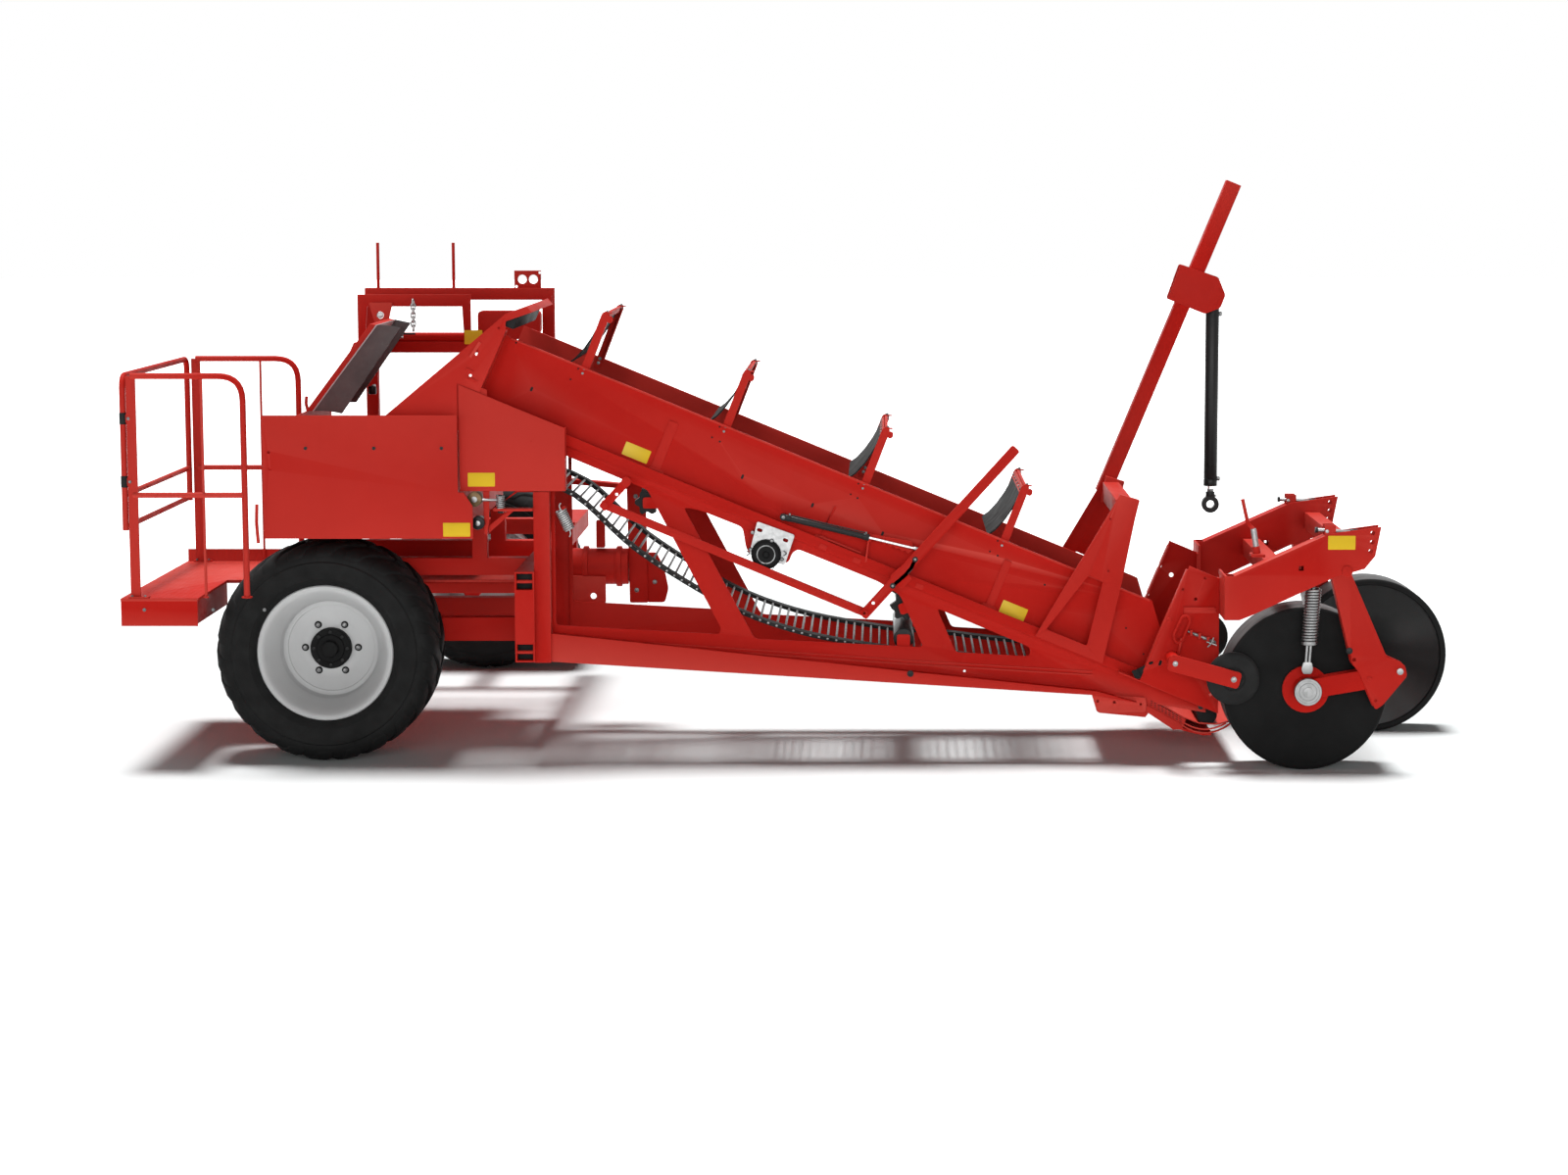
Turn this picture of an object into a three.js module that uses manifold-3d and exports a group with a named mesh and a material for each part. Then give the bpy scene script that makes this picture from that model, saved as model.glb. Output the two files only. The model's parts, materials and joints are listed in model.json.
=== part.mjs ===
// Trailed one-row potato harvester, in millimetres: +X is the direction of travel, +Y the left
// side and +Z up. The origin is on the ground, in the middle of the overall box.
import * as THREE from "three";
import { mergeVertices } from "three/addons/utils/BufferGeometryUtils.js";
import Module from "manifold-3d";

const wasm = await Module();
wasm.setup();

// ---- driving dimensions -------------------------------------------------------------------
const gap = 0.3;                 // between two pieces that touch
const bearingGap = 0.5;          // between a turning piece and what carries it
const runningGap = 6;            // between a piece that moves and its neighbours
const sheet = 6;                 // wall and plate thickness

const channelStart = [-1691, 1957]; // rear end of the channel's top edge, as X and Z
const channelSlope = THREE.MathUtils.degToRad(22.4);
const channelDepth = 355;        // from the top edge to the bottom flange, across the slope
const channelCentre = 650;       // Y of the digging unit's middle plane
const channelHalf = 435;         // from the middle plane to the outer face of a side wall
const wallLength = 3470;
const flangeWidth = 34;

const webWidth = 2 * (channelHalf - 45);
const webThickness = 18;
const webDepth = 245;            // of the carrying run below the channel's top edge

const armInner = channelHalf + 225; // front arm, from the middle plane
const armOuter = armInner + 100;
const depthWheelRadius = 371;
const depthWheelWidth = 250;
const depthWheelOuter = armInner - 10; // its closed face, from the middle plane
const rightDepthWheelX = 1927;
const leftDepthWheelX = 2369;
const pressWheelRadius = 120;
const pressWheelWidth = 44;

const tyreRadius = 508;
const tyreWidth = 480;
const rimRadius = 305;
const rightWheel = { x: -2520, y: 375 };
const leftWheel = { x: -2130, y: 3290 };
const hubRadius = 92;
const axleHeight = tyreRadius;

const platformHeight = 781;
const platformRear = -3406;
const platformFront = -1662;
const platformLeft = 1480;
const platformWalkStart = 700;   // right edge of the walkway beside the tyre
const railTube = 14;             // radius
const railHeight = 1013;         // top of the guard rail above the floor
const midRailHeight = 465;

const mastBase = [1109, 1205];
const mastTop = [1699, 2634];
const mastWidth = 72;
const liftPin = [1606, 2087];
const liftCylinderRadius = 33;
const liftRodRadius = 14;
const liftEyeZ = 1092;

const agitatorPivot = [112, 852];
const rearArmPivot = [-1137, 1296];
const leverFoot = [-58, 699];
const rearArmFoot = [-1235, 1190];
const cylinderFoot = [-429, 1134];
const rodEye = [195, 983];

// ---- materials ------------------------------------------------------------------------------
const paint = (color, roughness, metalness) =>
  new THREE.MeshStandardMaterial({ color, roughness, metalness });
const red = paint(0xbb2c23, 0.42, 0.1);
const rimGrey = paint(0xd2d2d2, 0.4, 0.1);
const rubber = paint(0x1e1e1c, 0.85, 0);
const webBlack = paint(0x2a2a28, 0.6, 0.2);
const zinc = paint(0xb8b8b6, 0.35, 0.8);
const chrome = paint(0xe0e0e2, 0.15, 1);
const black = paint(0x1b1b1a, 0.5, 0.3);

// ---- solids ---------------------------------------------------------------------------------
function solid(geometry) {
  geometry.deleteAttribute("normal");
  geometry.deleteAttribute("uv");
  const merged = mergeVertices(geometry, 1e-3);
  const vertProperties = new Float32Array(merged.attributes.position.array);
  const triVerts = new Uint32Array(merged.index.array);
  return new wasm.Manifold(new wasm.Mesh({ numProp: 3, vertProperties, triVerts }));
}

function joined(...pieces) {
  return pieces.reduce((whole, piece) => whole.add(piece));
}

function cut(whole, ...tools) {
  return tools.reduce((rest, tool) => rest.subtract(tool), whole);
}

function box([x0, x1], [y0, y1], [z0, z1]) {
  const geometry = new THREE.BoxGeometry(x1 - x0, y1 - y0, z1 - z0);
  return solid(geometry.translate((x0 + x1) / 2, (y0 + y1) / 2, (z0 + z1) / 2));
}

// An outline of [x, z] corners, each rounded by its radius where there is room.
function outline(points, radius = 0) {
  const corners = points.map(([x, z]) => new THREE.Vector2(x, z));
  if (THREE.ShapeUtils.isClockWise(corners)) {
    corners.reverse();
  }
  const path = new THREE.Shape();
  corners.forEach((corner, index) => {
    const before = corners[(index + corners.length - 1) % corners.length];
    const after = corners[(index + 1) % corners.length];
    const reach = Math.min(radius, corner.distanceTo(before) / 2.1, corner.distanceTo(after) / 2.1);
    const entry = corner.clone().lerp(before, reach / corner.distanceTo(before));
    const exit = corner.clone().lerp(after, reach / corner.distanceTo(after));
    if (index === 0) {
      path.moveTo(entry.x, entry.y);
    } else {
      path.lineTo(entry.x, entry.y);
    }
    if (reach > 0) {
      path.quadraticCurveTo(corner.x, corner.y, exit.x, exit.y);
    }
  });
  path.closePath();
  return path;
}

// A plate that stands in the XZ plane, from y0 to y1.
function plate(shape, y0, y1, curveSegments = 4) {
  const geometry = new THREE.ExtrudeGeometry(shape, { depth: y1 - y0, bevelEnabled: false, curveSegments });
  return solid(geometry.rotateX(Math.PI / 2).translate(0, y1, 0));
}

function polygonPlate(points, y0, y1, radius = 0) {
  return plate(outline(points, radius), y0, y1);
}

// A flat bar between two [x, z] points.
function barOutline([x0, z0], [x1, z1], height, extra = 0) {
  const along = new THREE.Vector2(x1 - x0, z1 - z0).normalize();
  const across = new THREE.Vector2(-along.y, along.x).multiplyScalar(height / 2);
  const start = new THREE.Vector2(x0, z0).addScaledVector(along, -extra);
  const end = new THREE.Vector2(x1, z1).addScaledVector(along, extra);
  return [
    [start.x - across.x, start.y - across.y],
    [end.x - across.x, end.y - across.y],
    [end.x + across.x, end.y + across.y],
    [start.x + across.x, start.y + across.y],
  ];
}

function bar(from, to, height, y0, y1, extra = 0, radius = 0) {
  return polygonPlate(barOutline(from, to, height, extra), y0, y1, radius);
}

function cylinderAlongY([x, z], radius, y0, y1, segments = 24) {
  const geometry = new THREE.CylinderGeometry(radius, radius, y1 - y0, segments);
  return solid(geometry.translate(x, (y0 + y1) / 2, z));
}

function cylinderBetween(from, to, radius, segments = 16) {
  const start = new THREE.Vector3(...from);
  const end = new THREE.Vector3(...to);
  const axis = end.clone().sub(start);
  const geometry = new THREE.CylinderGeometry(radius, radius, axis.length(), segments);
  const turn = new THREE.Quaternion().setFromUnitVectors(new THREE.Vector3(0, 1, 0), axis.normalize());
  geometry.applyQuaternion(turn).translate(...start.add(end).multiplyScalar(0.5).toArray());
  return solid(geometry);
}

// A ring or disc turned about a Y axis through [x, z]; its profile holds [radius, y] points.
function turned(profile, [x, z], y, segments = 48) {
  const points = profile.map(([radius, along]) => new THREE.Vector2(radius, along));
  const geometry = new THREE.LatheGeometry(points, segments);
  return solid(geometry.translate(x, y, z));
}

// A tube along straight runs whose corners are bent.
class BentPath extends THREE.Curve {
  constructor(points) {
    super();
    this.points = points;
  }

  getPoint(t, target = new THREE.Vector3()) {
    const place = t * (this.points.length - 1);
    const index = Math.min(Math.floor(place), this.points.length - 2);
    return target.lerpVectors(this.points[index], this.points[index + 1], place - index);
  }

  getPointAt(u, target) {
    return this.getPoint(u, target);
  }

  getTangentAt(u, target = new THREE.Vector3()) {
    const step = 0.5 / (this.points.length - 1);
    const ahead = this.getPoint(Math.min(u + step, 1));
    return target.copy(ahead).sub(this.getPoint(Math.max(u - step, 0))).normalize();
  }
}

function bentTube(corners, bend, radius, sides = 12) {
  const steps = 6;
  const at = corners.map((corner) => new THREE.Vector3(...corner));
  const points = [at[0]];
  for (let index = 1; index < at.length - 1; index += 1) {
    const toBefore = at[index - 1].clone().sub(at[index]).normalize();
    const toAfter = at[index + 1].clone().sub(at[index]).normalize();
    const entry = at[index].clone().addScaledVector(toBefore, bend);
    const exit = at[index].clone().addScaledVector(toAfter, bend);
    const curve = new THREE.QuadraticBezierCurve3(entry, at[index], exit);
    points.push(...curve.getPoints(steps));
  }
  points.push(at[at.length - 1]);
  const section = new THREE.Shape();
  section.absarc(0, 0, radius, 0, Math.PI * 2);
  const path = new BentPath(points);
  const options = { steps: points.length - 1, extrudePath: path, curveSegments: sides / 2 };
  return solid(new THREE.ExtrudeGeometry(section, options));
}

// ---- places ---------------------------------------------------------------------------------
// Y at a distance from the digging unit's middle plane, on the right (-1) or the left (+1).
const sideY = (side, distance) => channelCentre + side * distance;
const between = (side, inner, outer) => [sideY(side, inner), sideY(side, outer)].sort((a, b) => a - b);
const right = -1;
const left = 1;

// [x, z] of a point of the channel: along its top edge, and up across it.
function channelPoint(along, up) {
  const c = Math.cos(channelSlope);
  const s = Math.sin(channelSlope);
  return [channelStart[0] + along * c + up * s, channelStart[1] - along * s + up * c];
}

// Z on the channel's bottom edge at an X.
function channelBottom(x) {
  const [x0, z0] = channelPoint(0, -channelDepth);
  return z0 - (x - x0) * Math.tan(channelSlope);
}

const harvester = new THREE.Group();

function part(name, material, shape) {
  const mesh = shape.getMesh();
  const geometry = new THREE.BufferGeometry();
  geometry.setAttribute("position", new THREE.BufferAttribute(mesh.vertProperties, 3));
  geometry.setIndex(new THREE.BufferAttribute(mesh.triVerts, 1));
  geometry.computeVertexNormals();
  const node = new THREE.Mesh(geometry, material);
  node.name = name;
  harvester.add(node);
}

// ---- rear wheels ----------------------------------------------------------------------------
const beadHalf = 186;            // inner faces of the rim's flanges, from its middle
const flangeThickness = 18;
const rimLip = rimRadius + 6;
const rimSeat = rimRadius - 14;
const wheelSides = 36;

function tyreProfile() {
  const half = tyreWidth / 2;
  const rightHalf = [
    [rimSeat + gap, -beadHalf + gap],
    [rimLip + gap, -beadHalf + gap],
    [rimLip + gap, -beadHalf - flangeThickness],
    [rimLip + 24, -half + 14],
    [rimLip + 89, -half],
    [tyreRadius - 40, -half + 18],
    [tyreRadius, -half + 60],
  ];
  const leftHalf = rightHalf.map(([radius, along]) => [radius, -along]).reverse();
  return [...rightHalf, ...leftHalf, rightHalf[0]];
}

// A dished disc wheel on its hub; facing is -1 where the dish opens to the right.
function rimProfile() {
  const inside = rimSeat - 12;
  const edge = beadHalf + flangeThickness;
  const disc = 8;                // half of the disc's thickness
  const hubHalf = 50;
  return [
    [0, -hubHalf - 22],
    [40, -hubHalf - 22],
    [40, -hubHalf],
    [hubRadius, -hubHalf],
    [hubRadius, -disc],
    [210, -disc],
    [235, -40],
    [inside, -90],
    [inside + 4, -edge + 12],
    [rimLip - 8, -edge],
    [rimLip, -edge + 2],
    [rimLip, -beadHalf],
    [rimSeat, -beadHalf],
    [rimSeat, beadHalf],
    [rimLip, beadHalf],
    [rimLip, edge - 2],
    [rimLip - 8, edge],
    [inside + 4, edge - 12],
    [inside, 20],
    [210, disc],
    [hubRadius, disc],
    [hubRadius, hubHalf],
    [0, hubHalf],
  ];
}

// The profile as it stands on a side: the left one is the right one in a mirror.
function onSide(side, profile) {
  return side === right ? profile : profile.map(([radius, along]) => [radius, -along]).reverse();
}

function rearWheel(name, side, { x, y }) {
  const at = [x, axleHeight];
  part(`${name}_tyre`, rubber, turned(tyreProfile(), at, y, wheelSides));
  part(`${name}_rim`, rimGrey, turned(onSide(side, rimProfile()), at, y, wheelSides));
}
rearWheel("right_wheel", right, rightWheel);
rearWheel("left_wheel", left, leftWheel);

// ---- chassis --------------------------------------------------------------------------------
const tubeX = [-1644, -1555];
const upperTubeZ = [801, 891];
const lowerTubeZ = [478, 568];
const rightFace = channelCentre - channelHalf; // outer face of the right side wall
const tubeEndRight = rightFace - 125;
const tubeEndLeft = 2950;
const tubeWall = 8;
const postX = [-1552, -1487];
const postTop = 1250;
const beamRows = [640, 1390, 2440]; // right edges of the longitudinal beams
const beamWidth = 80;

const lowerBeamZ = [500, 610];
const lowerBeamRear = -2880;
const beamPostX = [-2640, -2560];
const carrierX = [beamPostX, [-1900, -1830]]; // of the rear unit, up from the upper beams
const carrierWidth = 60;
const axleRadius = 45;

// Two cross tubes with struts between them and a post at each side of the channel.
function crossFrame() {
  const postZ = [469, postTop];
  const struts = beamRows.map((y) => box(
    [tubeX[0] + 20, tubeX[1] - 20],
    [y, y + beamWidth],
    [lowerTubeZ[0] + 5, upperTubeZ[1] - 5],
  ));
  const frame = joined(
    box(tubeX, [tubeEndRight, tubeEndLeft], upperTubeZ),
    box(tubeX, [tubeEndRight, tubeEndLeft], lowerTubeZ),
    box(tubeX, [tubeEndRight, tubeEndRight + 12], [lowerTubeZ[1] - 5, upperTubeZ[0] + 5]),
    box([tubeX[1] - 5, postX[1]], between(right, channelHalf + 10, channelHalf + 75), postZ),
    box([tubeX[1] - 5, postX[1]], between(left, channelHalf + 10, channelHalf + 75), postZ),
    ...struts,
  );
  const bore = (z) => box(
    [tubeX[0] + tubeWall, tubeX[1] - tubeWall],
    [tubeEndRight - 1, tubeEndLeft + 1],
    [z[0] + tubeWall, z[1] - tubeWall],
  );
  return cut(frame, bore(upperTubeZ), bore(lowerTubeZ));
}

// A lower and an upper beam behind the cross tubes, joined by a post.
function beamPair(y, ...others) {
  const width = [y, y + beamWidth];
  const front = tubeX[0] - gap;
  return joined(
    box([lowerBeamRear, front], width, lowerBeamZ),
    box([beamPostX[0], front], width, [upperTubeZ[1] - beamWidth, upperTubeZ[1]]),
    box(beamPostX, width, [lowerBeamZ[1] - 5, upperTubeZ[1]]),
    ...others,
  );
}

function carriers(y) {
  return carrierX.map((x) => box(x, [y, y + carrierWidth], [upperTubeZ[1] - 5, rearUnitBottom - gap]));
}

// ---- rear platform and guard rails -----------------------------------------------------------
const rearUnitBottom = 2 * tyreRadius + 30; // clear of the right tyre
const rearUnitTop = 1602;
const rearUnitX = [-2763, -1888];

function platform() {
  const floorZ = [platformHeight - 12, platformHeight];
  const edgeTop = platformHeight - 4;
  const skirtZ = (depth) => [platformHeight - depth, edgeTop];
  const innerEdge = rightWheel.x - tyreRadius - 32;
  const floor = joined(
    box([platformRear, innerEdge], [0, platformLeft], floorZ),
    box([innerEdge - 5, platformFront], [platformWalkStart, platformLeft], floorZ),
    // skirts under the right, rear, inner and left edges, and the toe board on the left
    box([platformRear + 1, innerEdge - 1], [1, 1 + sheet], skirtZ(125)),
    box([platformRear + 2, platformRear + 2 + sheet], [2, platformLeft - 2], skirtZ(120)),
    box([innerEdge - 2 - sheet, innerEdge - 2], [2, platformWalkStart - 2], skirtZ(115)),
    box(
      [platformRear + 3, platformFront - 3],
      [platformLeft - 1 - sheet, platformLeft - 1],
      [platformHeight - 110, platformHeight + 60],
    ),
    // bearers down to the chassis beams
    ...[0, 1].map((row) => box(
      [lowerBeamRear, lowerBeamRear + 50],
      [beamRows[row], beamRows[row] + beamWidth],
      [lowerBeamZ[1] + gap, platformHeight - 5],
    )),
    ...[0, 1].map((row) => box(
      [-2300, -2250],
      [beamRows[row], beamRows[row] + beamWidth],
      [lowerBeamZ[1] + gap, platformHeight - 5],
    )),
  );
  const passages = [0, 1].map((row) => box(
    [beamPostX[0] - gap, beamPostX[1] + gap],
    [beamRows[row] - gap, beamRows[row] + beamWidth + gap],
    [platformHeight - 20, platformHeight + 20],
  ));
  return cut(floor, ...passages);
}

const railRear = platformRear + 66;
const railFront = -2840;
const railRight = 20;
const railLeft = platformLeft - sheet - railTube - 2;
const railTop = platformHeight + railHeight - railTube;
const railMiddle = platformHeight + midRailHeight;
const gateX = railRear - 40;
const hingeHeights = [railTop - 190, railMiddle + 60];

function guardRail(y) {
  const foot = platformHeight + gap;
  return joined(
    bentTube([[railRear, y, railTop], [railFront, y, railTop], [railFront, y, foot]], 110, railTube),
    cylinderBetween([railRear, y, railMiddle], [railFront, y, railMiddle], railTube * 0.9, 12),
    box([railRear - 22, railRear + 22], [y - 5, y + 5], [foot, railTop]),
    box([-3030, -3018], [y - 6, y + 6], [foot, railTop]),
  );
}

// The right rail carries two clips that the gate turns in.
function hingedRail() {
  const clips = hingeHeights.map((z) => box(
    [gateX + railTube + bearingGap, railRear - 20],
    [railRight - 5, railRight + 20],
    [z - 18, z + 18],
  ));
  return joined(guardRail(railRight), ...clips);
}

function gate() {
  const hinge = railRight + 12;
  const free = railLeft - 20;
  const low = railMiddle - 160;
  const corners = [
    [gateX, hinge, low + 20], [gateX, hinge, railTop], [gateX, free, railTop], [gateX, free, low + 20],
  ];
  return joined(
    bentTube(corners, 60, railTube),
    cylinderBetween([gateX, hinge, low], [gateX, hinge, low + 60], railTube, 12),
    cylinderBetween([gateX, free, low], [gateX, free, low + 60], railTube, 12),
    cylinderBetween([gateX, hinge, railMiddle], [gateX, free, railMiddle], railTube * 0.9, 12),
    cylinderBetween([gateX, hinge, low + 15], [gateX, free, low + 15], railTube * 0.9, 12),
  );
}

const hubFace = 50 + bearingGap; // of a wheel, from its middle
const stub = ({ x }, y0, y1) => cylinderAlongY([x, axleHeight], axleRadius, y0, y1);
const rightStub = stub(rightWheel, rightWheel.y + hubFace, beamRows[0] + 40);
const leftStub = stub(leftWheel, beamRows[2] + 40, leftWheel.y - hubFace);
part("cross_frame", red, crossFrame());
part("right_beams", red, beamPair(beamRows[0], rightStub, ...carriers(beamRows[0])));
part("middle_beams", red, beamPair(beamRows[1], ...carriers(beamRows[1])));
part("left_beams", red, beamPair(beamRows[2], leftStub));
part("rear_platform", red, platform());
part("right_guard_rail", red, hingedRail());
part("left_guard_rail", red, guardRail(railLeft));
part("platform_gate", red, gate());

// ---- rear unit: cross conveyor and its covers ---------------------------------------------------
const rearUnitNear = rightFace - 165;
const rearUnitFar = 1900;
const coverSheet = 4;
const coverStep = rearUnitBottom + 215; // where the side cover steps forward under the corner cover
const cornerFront = -1410;
const cornerBottom = coverStep - 4;

function sideCover() {
  return polygonPlate([
    [rearUnitX[0], rearUnitBottom], [-1823, rearUnitBottom], [-1823, coverStep - 67],
    [-1863, coverStep - 6], [rearUnitX[1], coverStep - 6],
    [rearUnitX[1], rearUnitTop], [rearUnitX[0], rearUnitTop],
  ], rearUnitNear, rearUnitNear + coverSheet);
}
part("side_cover", red, sideCover());

const cornerY = rightFace - 120;
function cornerCover() {
  const flangeFace = sideY(right, channelHalf + flangeWidth) - gap;
  return joined(
    polygonPlate([
      [-1885, cornerBottom], [cornerFront, cornerBottom], [cornerFront, 1541], [-1885, 1738],
    ], cornerY, cornerY + coverSheet),
    box([cornerFront - coverSheet, cornerFront], [cornerY, flangeFace], [cornerBottom, 1541]),
  );
}
part("corner_cover", red, cornerCover());

function crossConveyor() {
  const y = [rearUnitNear + coverSheet + gap, rearUnitFar];
  const beltTop = rearUnitTop - 240;
  const [rear, front] = rearUnitX;
  return joined(
    box([rear + 6, rear + 12], y, [rearUnitBottom, rearUnitTop - 60]),
    box([front - 12, front - 6], y, [rearUnitBottom, rearUnitTop - 60]),
    box([rear + 8, front - 8], y, [rearUnitBottom + 6, rearUnitBottom + 12]),
    box([rear + 8, front - 8], y, [beltTop - 20, beltTop]),
    box([rear + 8, rear + 68], y, [rearUnitBottom, rearUnitBottom + 60]),
    box([front - 68, front - 8], y, [rearUnitBottom, rearUnitBottom + 60]),
  );
}
part("cross_conveyor", red, crossConveyor());

function dischargeHood() {
  const side = [cornerY + coverSheet + gap, cornerY + 2 * coverSheet + gap];
  const wallFace = sideY(right, channelHalf) - gap;
  return joined(
    polygonPlate([
      [-2259, rearUnitTop - 40], [-1892, rearUnitTop - 40], [-1892, 1742], [-1792, 1702], [-1670, 1975],
      [-1668, 2054], [-1986, 1790],
    ], ...side),
    polygonPlate(
      [[-1668, 2054], [-1576, 2087], [-1551, 2060], [-1670, 2020]],
      side[0],
      sideY(left, channelHalf),
    ),
    // the fold along its front edge closes it against the side wall
    polygonPlate([[-1792, 1702], [-1670, 1975], [-1676, 1978], [-1798, 1705]], side[0], wallFace),
  );
}
part("discharge_hood", red, dischargeHood());

const troughRight = 1180;
part("elevator_trough", red, polygonPlate([
  [rearUnitX[0] + 6, rearUnitTop - 60 + gap], [rearUnitX[0] + 44, rearUnitTop - 60 + gap],
  [-2411, 1963], [-2444, 1963],
], troughRight, rearUnitFar - 100));

// A head frame behind the trough: an arch on a beam, the drive's box, and legs on the conveyor.
function elevatorArch() {
  const seat = rearUnitTop - 60 + gap;
  const near = rearUnitFar - 88;
  const thick = [near, near + 12];
  const deep = [near, near + 60];
  const beamZ = [1790, 1845];
  return joined(
    polygonPlate([
      [-2598, beamZ[0] + 5], [-2598, 2080], [-2033, 2080], [-2033, beamZ[0] + 5],
      [-2064, beamZ[0] + 5], [-2076, 2020], [-2550, 2020], [-2568, beamZ[0] + 5],
    ], ...thick),
    polygonPlate([[-2757, seat], [-2717, seat], [-2580, 1840], [-2620, 1840]], ...deep),
    box([-2600, -1880], deep, beamZ),
    cylinderBetween([-2470, near + 30, 1866], [-1890, near + 30, 1866], 24),
    box([-1930, -1880], deep, [seat, beamZ[1]]),
    polygonPlate(
      [[-1999, 1835], [-1999, 1998], [-1687, 1998], [-1687, 1885], [-1890, 1835]],
      near,
      near + 90,
      24,
    ),
  );
}
part("elevator_arch", red, elevatorArch());

function bagFrame() {
  const y = [2140, 2200];
  const post = [-1709, -1649];
  const rearPost = [-2611, -2551];
  return joined(
    box([rearPost[0], post[1]], y, [2041, 2101]),
    box(post, y, [upperTubeZ[1] + gap, 2050]),
    box([post[0], tubeX[1]], y, [upperTubeZ[1] + gap, upperTubeZ[1] + 12]),
    box(rearPost, y, [upperTubeZ[1] - 80, 2050]),
    box(rearPost, [y[0], beamRows[2] - gap], [upperTubeZ[1] - 80, upperTubeZ[1]]),
    box([rearPost[0], post[1]], y, [1200, 1260]),
    cylinderBetween([-2545, 2170, 2095], [-2545, 2170, 2330], 8, 12),
    cylinderBetween([-2161, 2170, 2095], [-2161, 2170, 2330], 8, 12),
    box([-1852, -1716], [2166, 2172], [2096, 2189]),
  );
}
part("bag_frame", red, bagFrame());

// ---- digging channel ------------------------------------------------------------------------
const lipHeight = 45;
function sideWall(side) {
  const face = between(side, channelHalf - sheet, channelHalf);
  const lip = between(side, channelHalf - 1, channelHalf + flangeWidth);
  const fold = between(side, channelHalf + flangeWidth - sheet, channelHalf + flangeWidth);
  const hem = between(side, channelHalf - 1, channelHalf + 14);
  const end = wallLength;
  const start = 60;
  const lipMiddle = -channelDepth + lipHeight / 2;
  let wall = joined(
    polygonPlate([
      channelPoint(0, 0), channelPoint(0, -channelDepth),
      channelPoint(end, -channelDepth), channelPoint(end - 290, 0),
    ], ...face),
    bar(channelPoint(start, -channelDepth + 3), channelPoint(end, -channelDepth + 3), 6, ...lip),
    bar(channelPoint(start, lipMiddle), channelPoint(end, lipMiddle), lipHeight, ...fold),
    bar(channelPoint(40, -4), channelPoint(end - 300, -4), 8, ...hem),
  );
  if (side === right) {
    const seat = sideY(right, channelHalf - 1);
    wall = wall.add(cylinderAlongY(cylinderFoot, 14, cylinderY + footHalf + bearingGap, seat, 16));
    wall = wall.add(cylinderAlongY(agitatorPivot, 18, leverY[1] + bearingGap, seat, 16));
  }
  return wall;
}

const leverY = [rightFace - 97, rightFace - 85];
const linkY = [rightFace - 79, rightFace - 71];
const cylinderY = rightFace - 60;
const footHalf = 16;             // half of the cylinder's foot along Y
part("right_side_wall", red, sideWall(right));
part("left_side_wall", red, sideWall(left));

function truss(side) {
  const face = between(side, channelHalf - sheet, channelHalf);
  const rearX = postX[1] + gap;
  const frontX = 1500;
  const shape = outline([
    [rearX, channelBottom(rearX) - gap - 0.5], [rearX, 471], [148, 367], [979, 317], [frontX, 228],
    [frontX, channelBottom(frontX) - gap - 0.5],
  ]);
  shape.holes.push(outline([[-1470, 1430], [-1048, 1252], [-715, 615], [-725, 590], [-1470, 632]], 18));
  shape.holes.push(outline([
    [-885, 1173], [-808, 1158], [-616, 1081], [-601, 985], [-578, 950], [-409, 915], [-390, 965],
    [-363, 980], [-1, 833], [99, 771], [207, 530], [-564, 569],
  ], 22));
  shape.holes.push(outline([[269, 709], [694, 530], [694, 488], [354, 507]], 18));
  const rail = outline([[rearX, 600], [rearX, 471], [148, 367], [979, 317], [1180, 283], [1000, 333]]);
  const bracket = between(side, channelHalf - sheet - bracketPlate, channelHalf - sheet + 1);
  // only the right truss carries the linkage's rear arm
  const rearArmBoss = side === right
    ? [cylinderAlongY(rearArmPivot, 16, leverY[1] + bearingGap, sideY(right, channelHalf - 1), 16)]
    : [];
  return joined(
    ...rearArmBoss,
    plate(shape, ...face),
    plate(rail, ...between(side, channelHalf - 1, channelHalf + 55)),
    bar(guideRollerAt, [guideRollerAt[0], 420], 60, ...bracket, 25, 12),
    bar(rearStarAt, [rearStarAt[0] + 130, rearStarAt[1]], 50, ...bracket, 20, 12),
    bar(frontStarAt, [frontStarAt[0] + 70, frontStarAt[1] + 25], 50, ...bracket, 20, 12),
  );
}

const bracketPlate = 10;
const guideRollerAt = [116, 563];
const rearStarAt = [-1050, 1191];
const frontStarAt = [116, 707];
part("right_truss", red, truss(right));
part("left_truss", red, truss(left));

// ---- lifting web and what carries it ----------------------------------------------------------
const webHalf = webWidth / 2;
const driveRollerRadius = 90;
const frontRollerRadius = 55;
const guideRollerRadius = 46;
const rollerSides = 24;
const frontRollerExit = -105;    // degrees at which the return run leaves the front roller
const webClearance = 0.6;        // between the web and a roller
const driveRoller = channelPoint(120, -webDepth - driveRollerRadius);
const frontRoller = channelPoint(3300, -webDepth - frontRollerRadius);

// Points on a circle at every corner of a roller's section, from one angle down to another.
function rollerArc([x, z], radius, fromDegrees, toDegrees) {
  const step = 360 / rollerSides;
  const points = [];
  for (let angle = fromDegrees; angle >= toDegrees; angle -= step) {
    const turn = THREE.MathUtils.degToRad(angle);
    points.push(new THREE.Vector2(x + radius * Math.cos(turn), z + radius * Math.sin(turn)));
  }
  return points;
}

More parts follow.
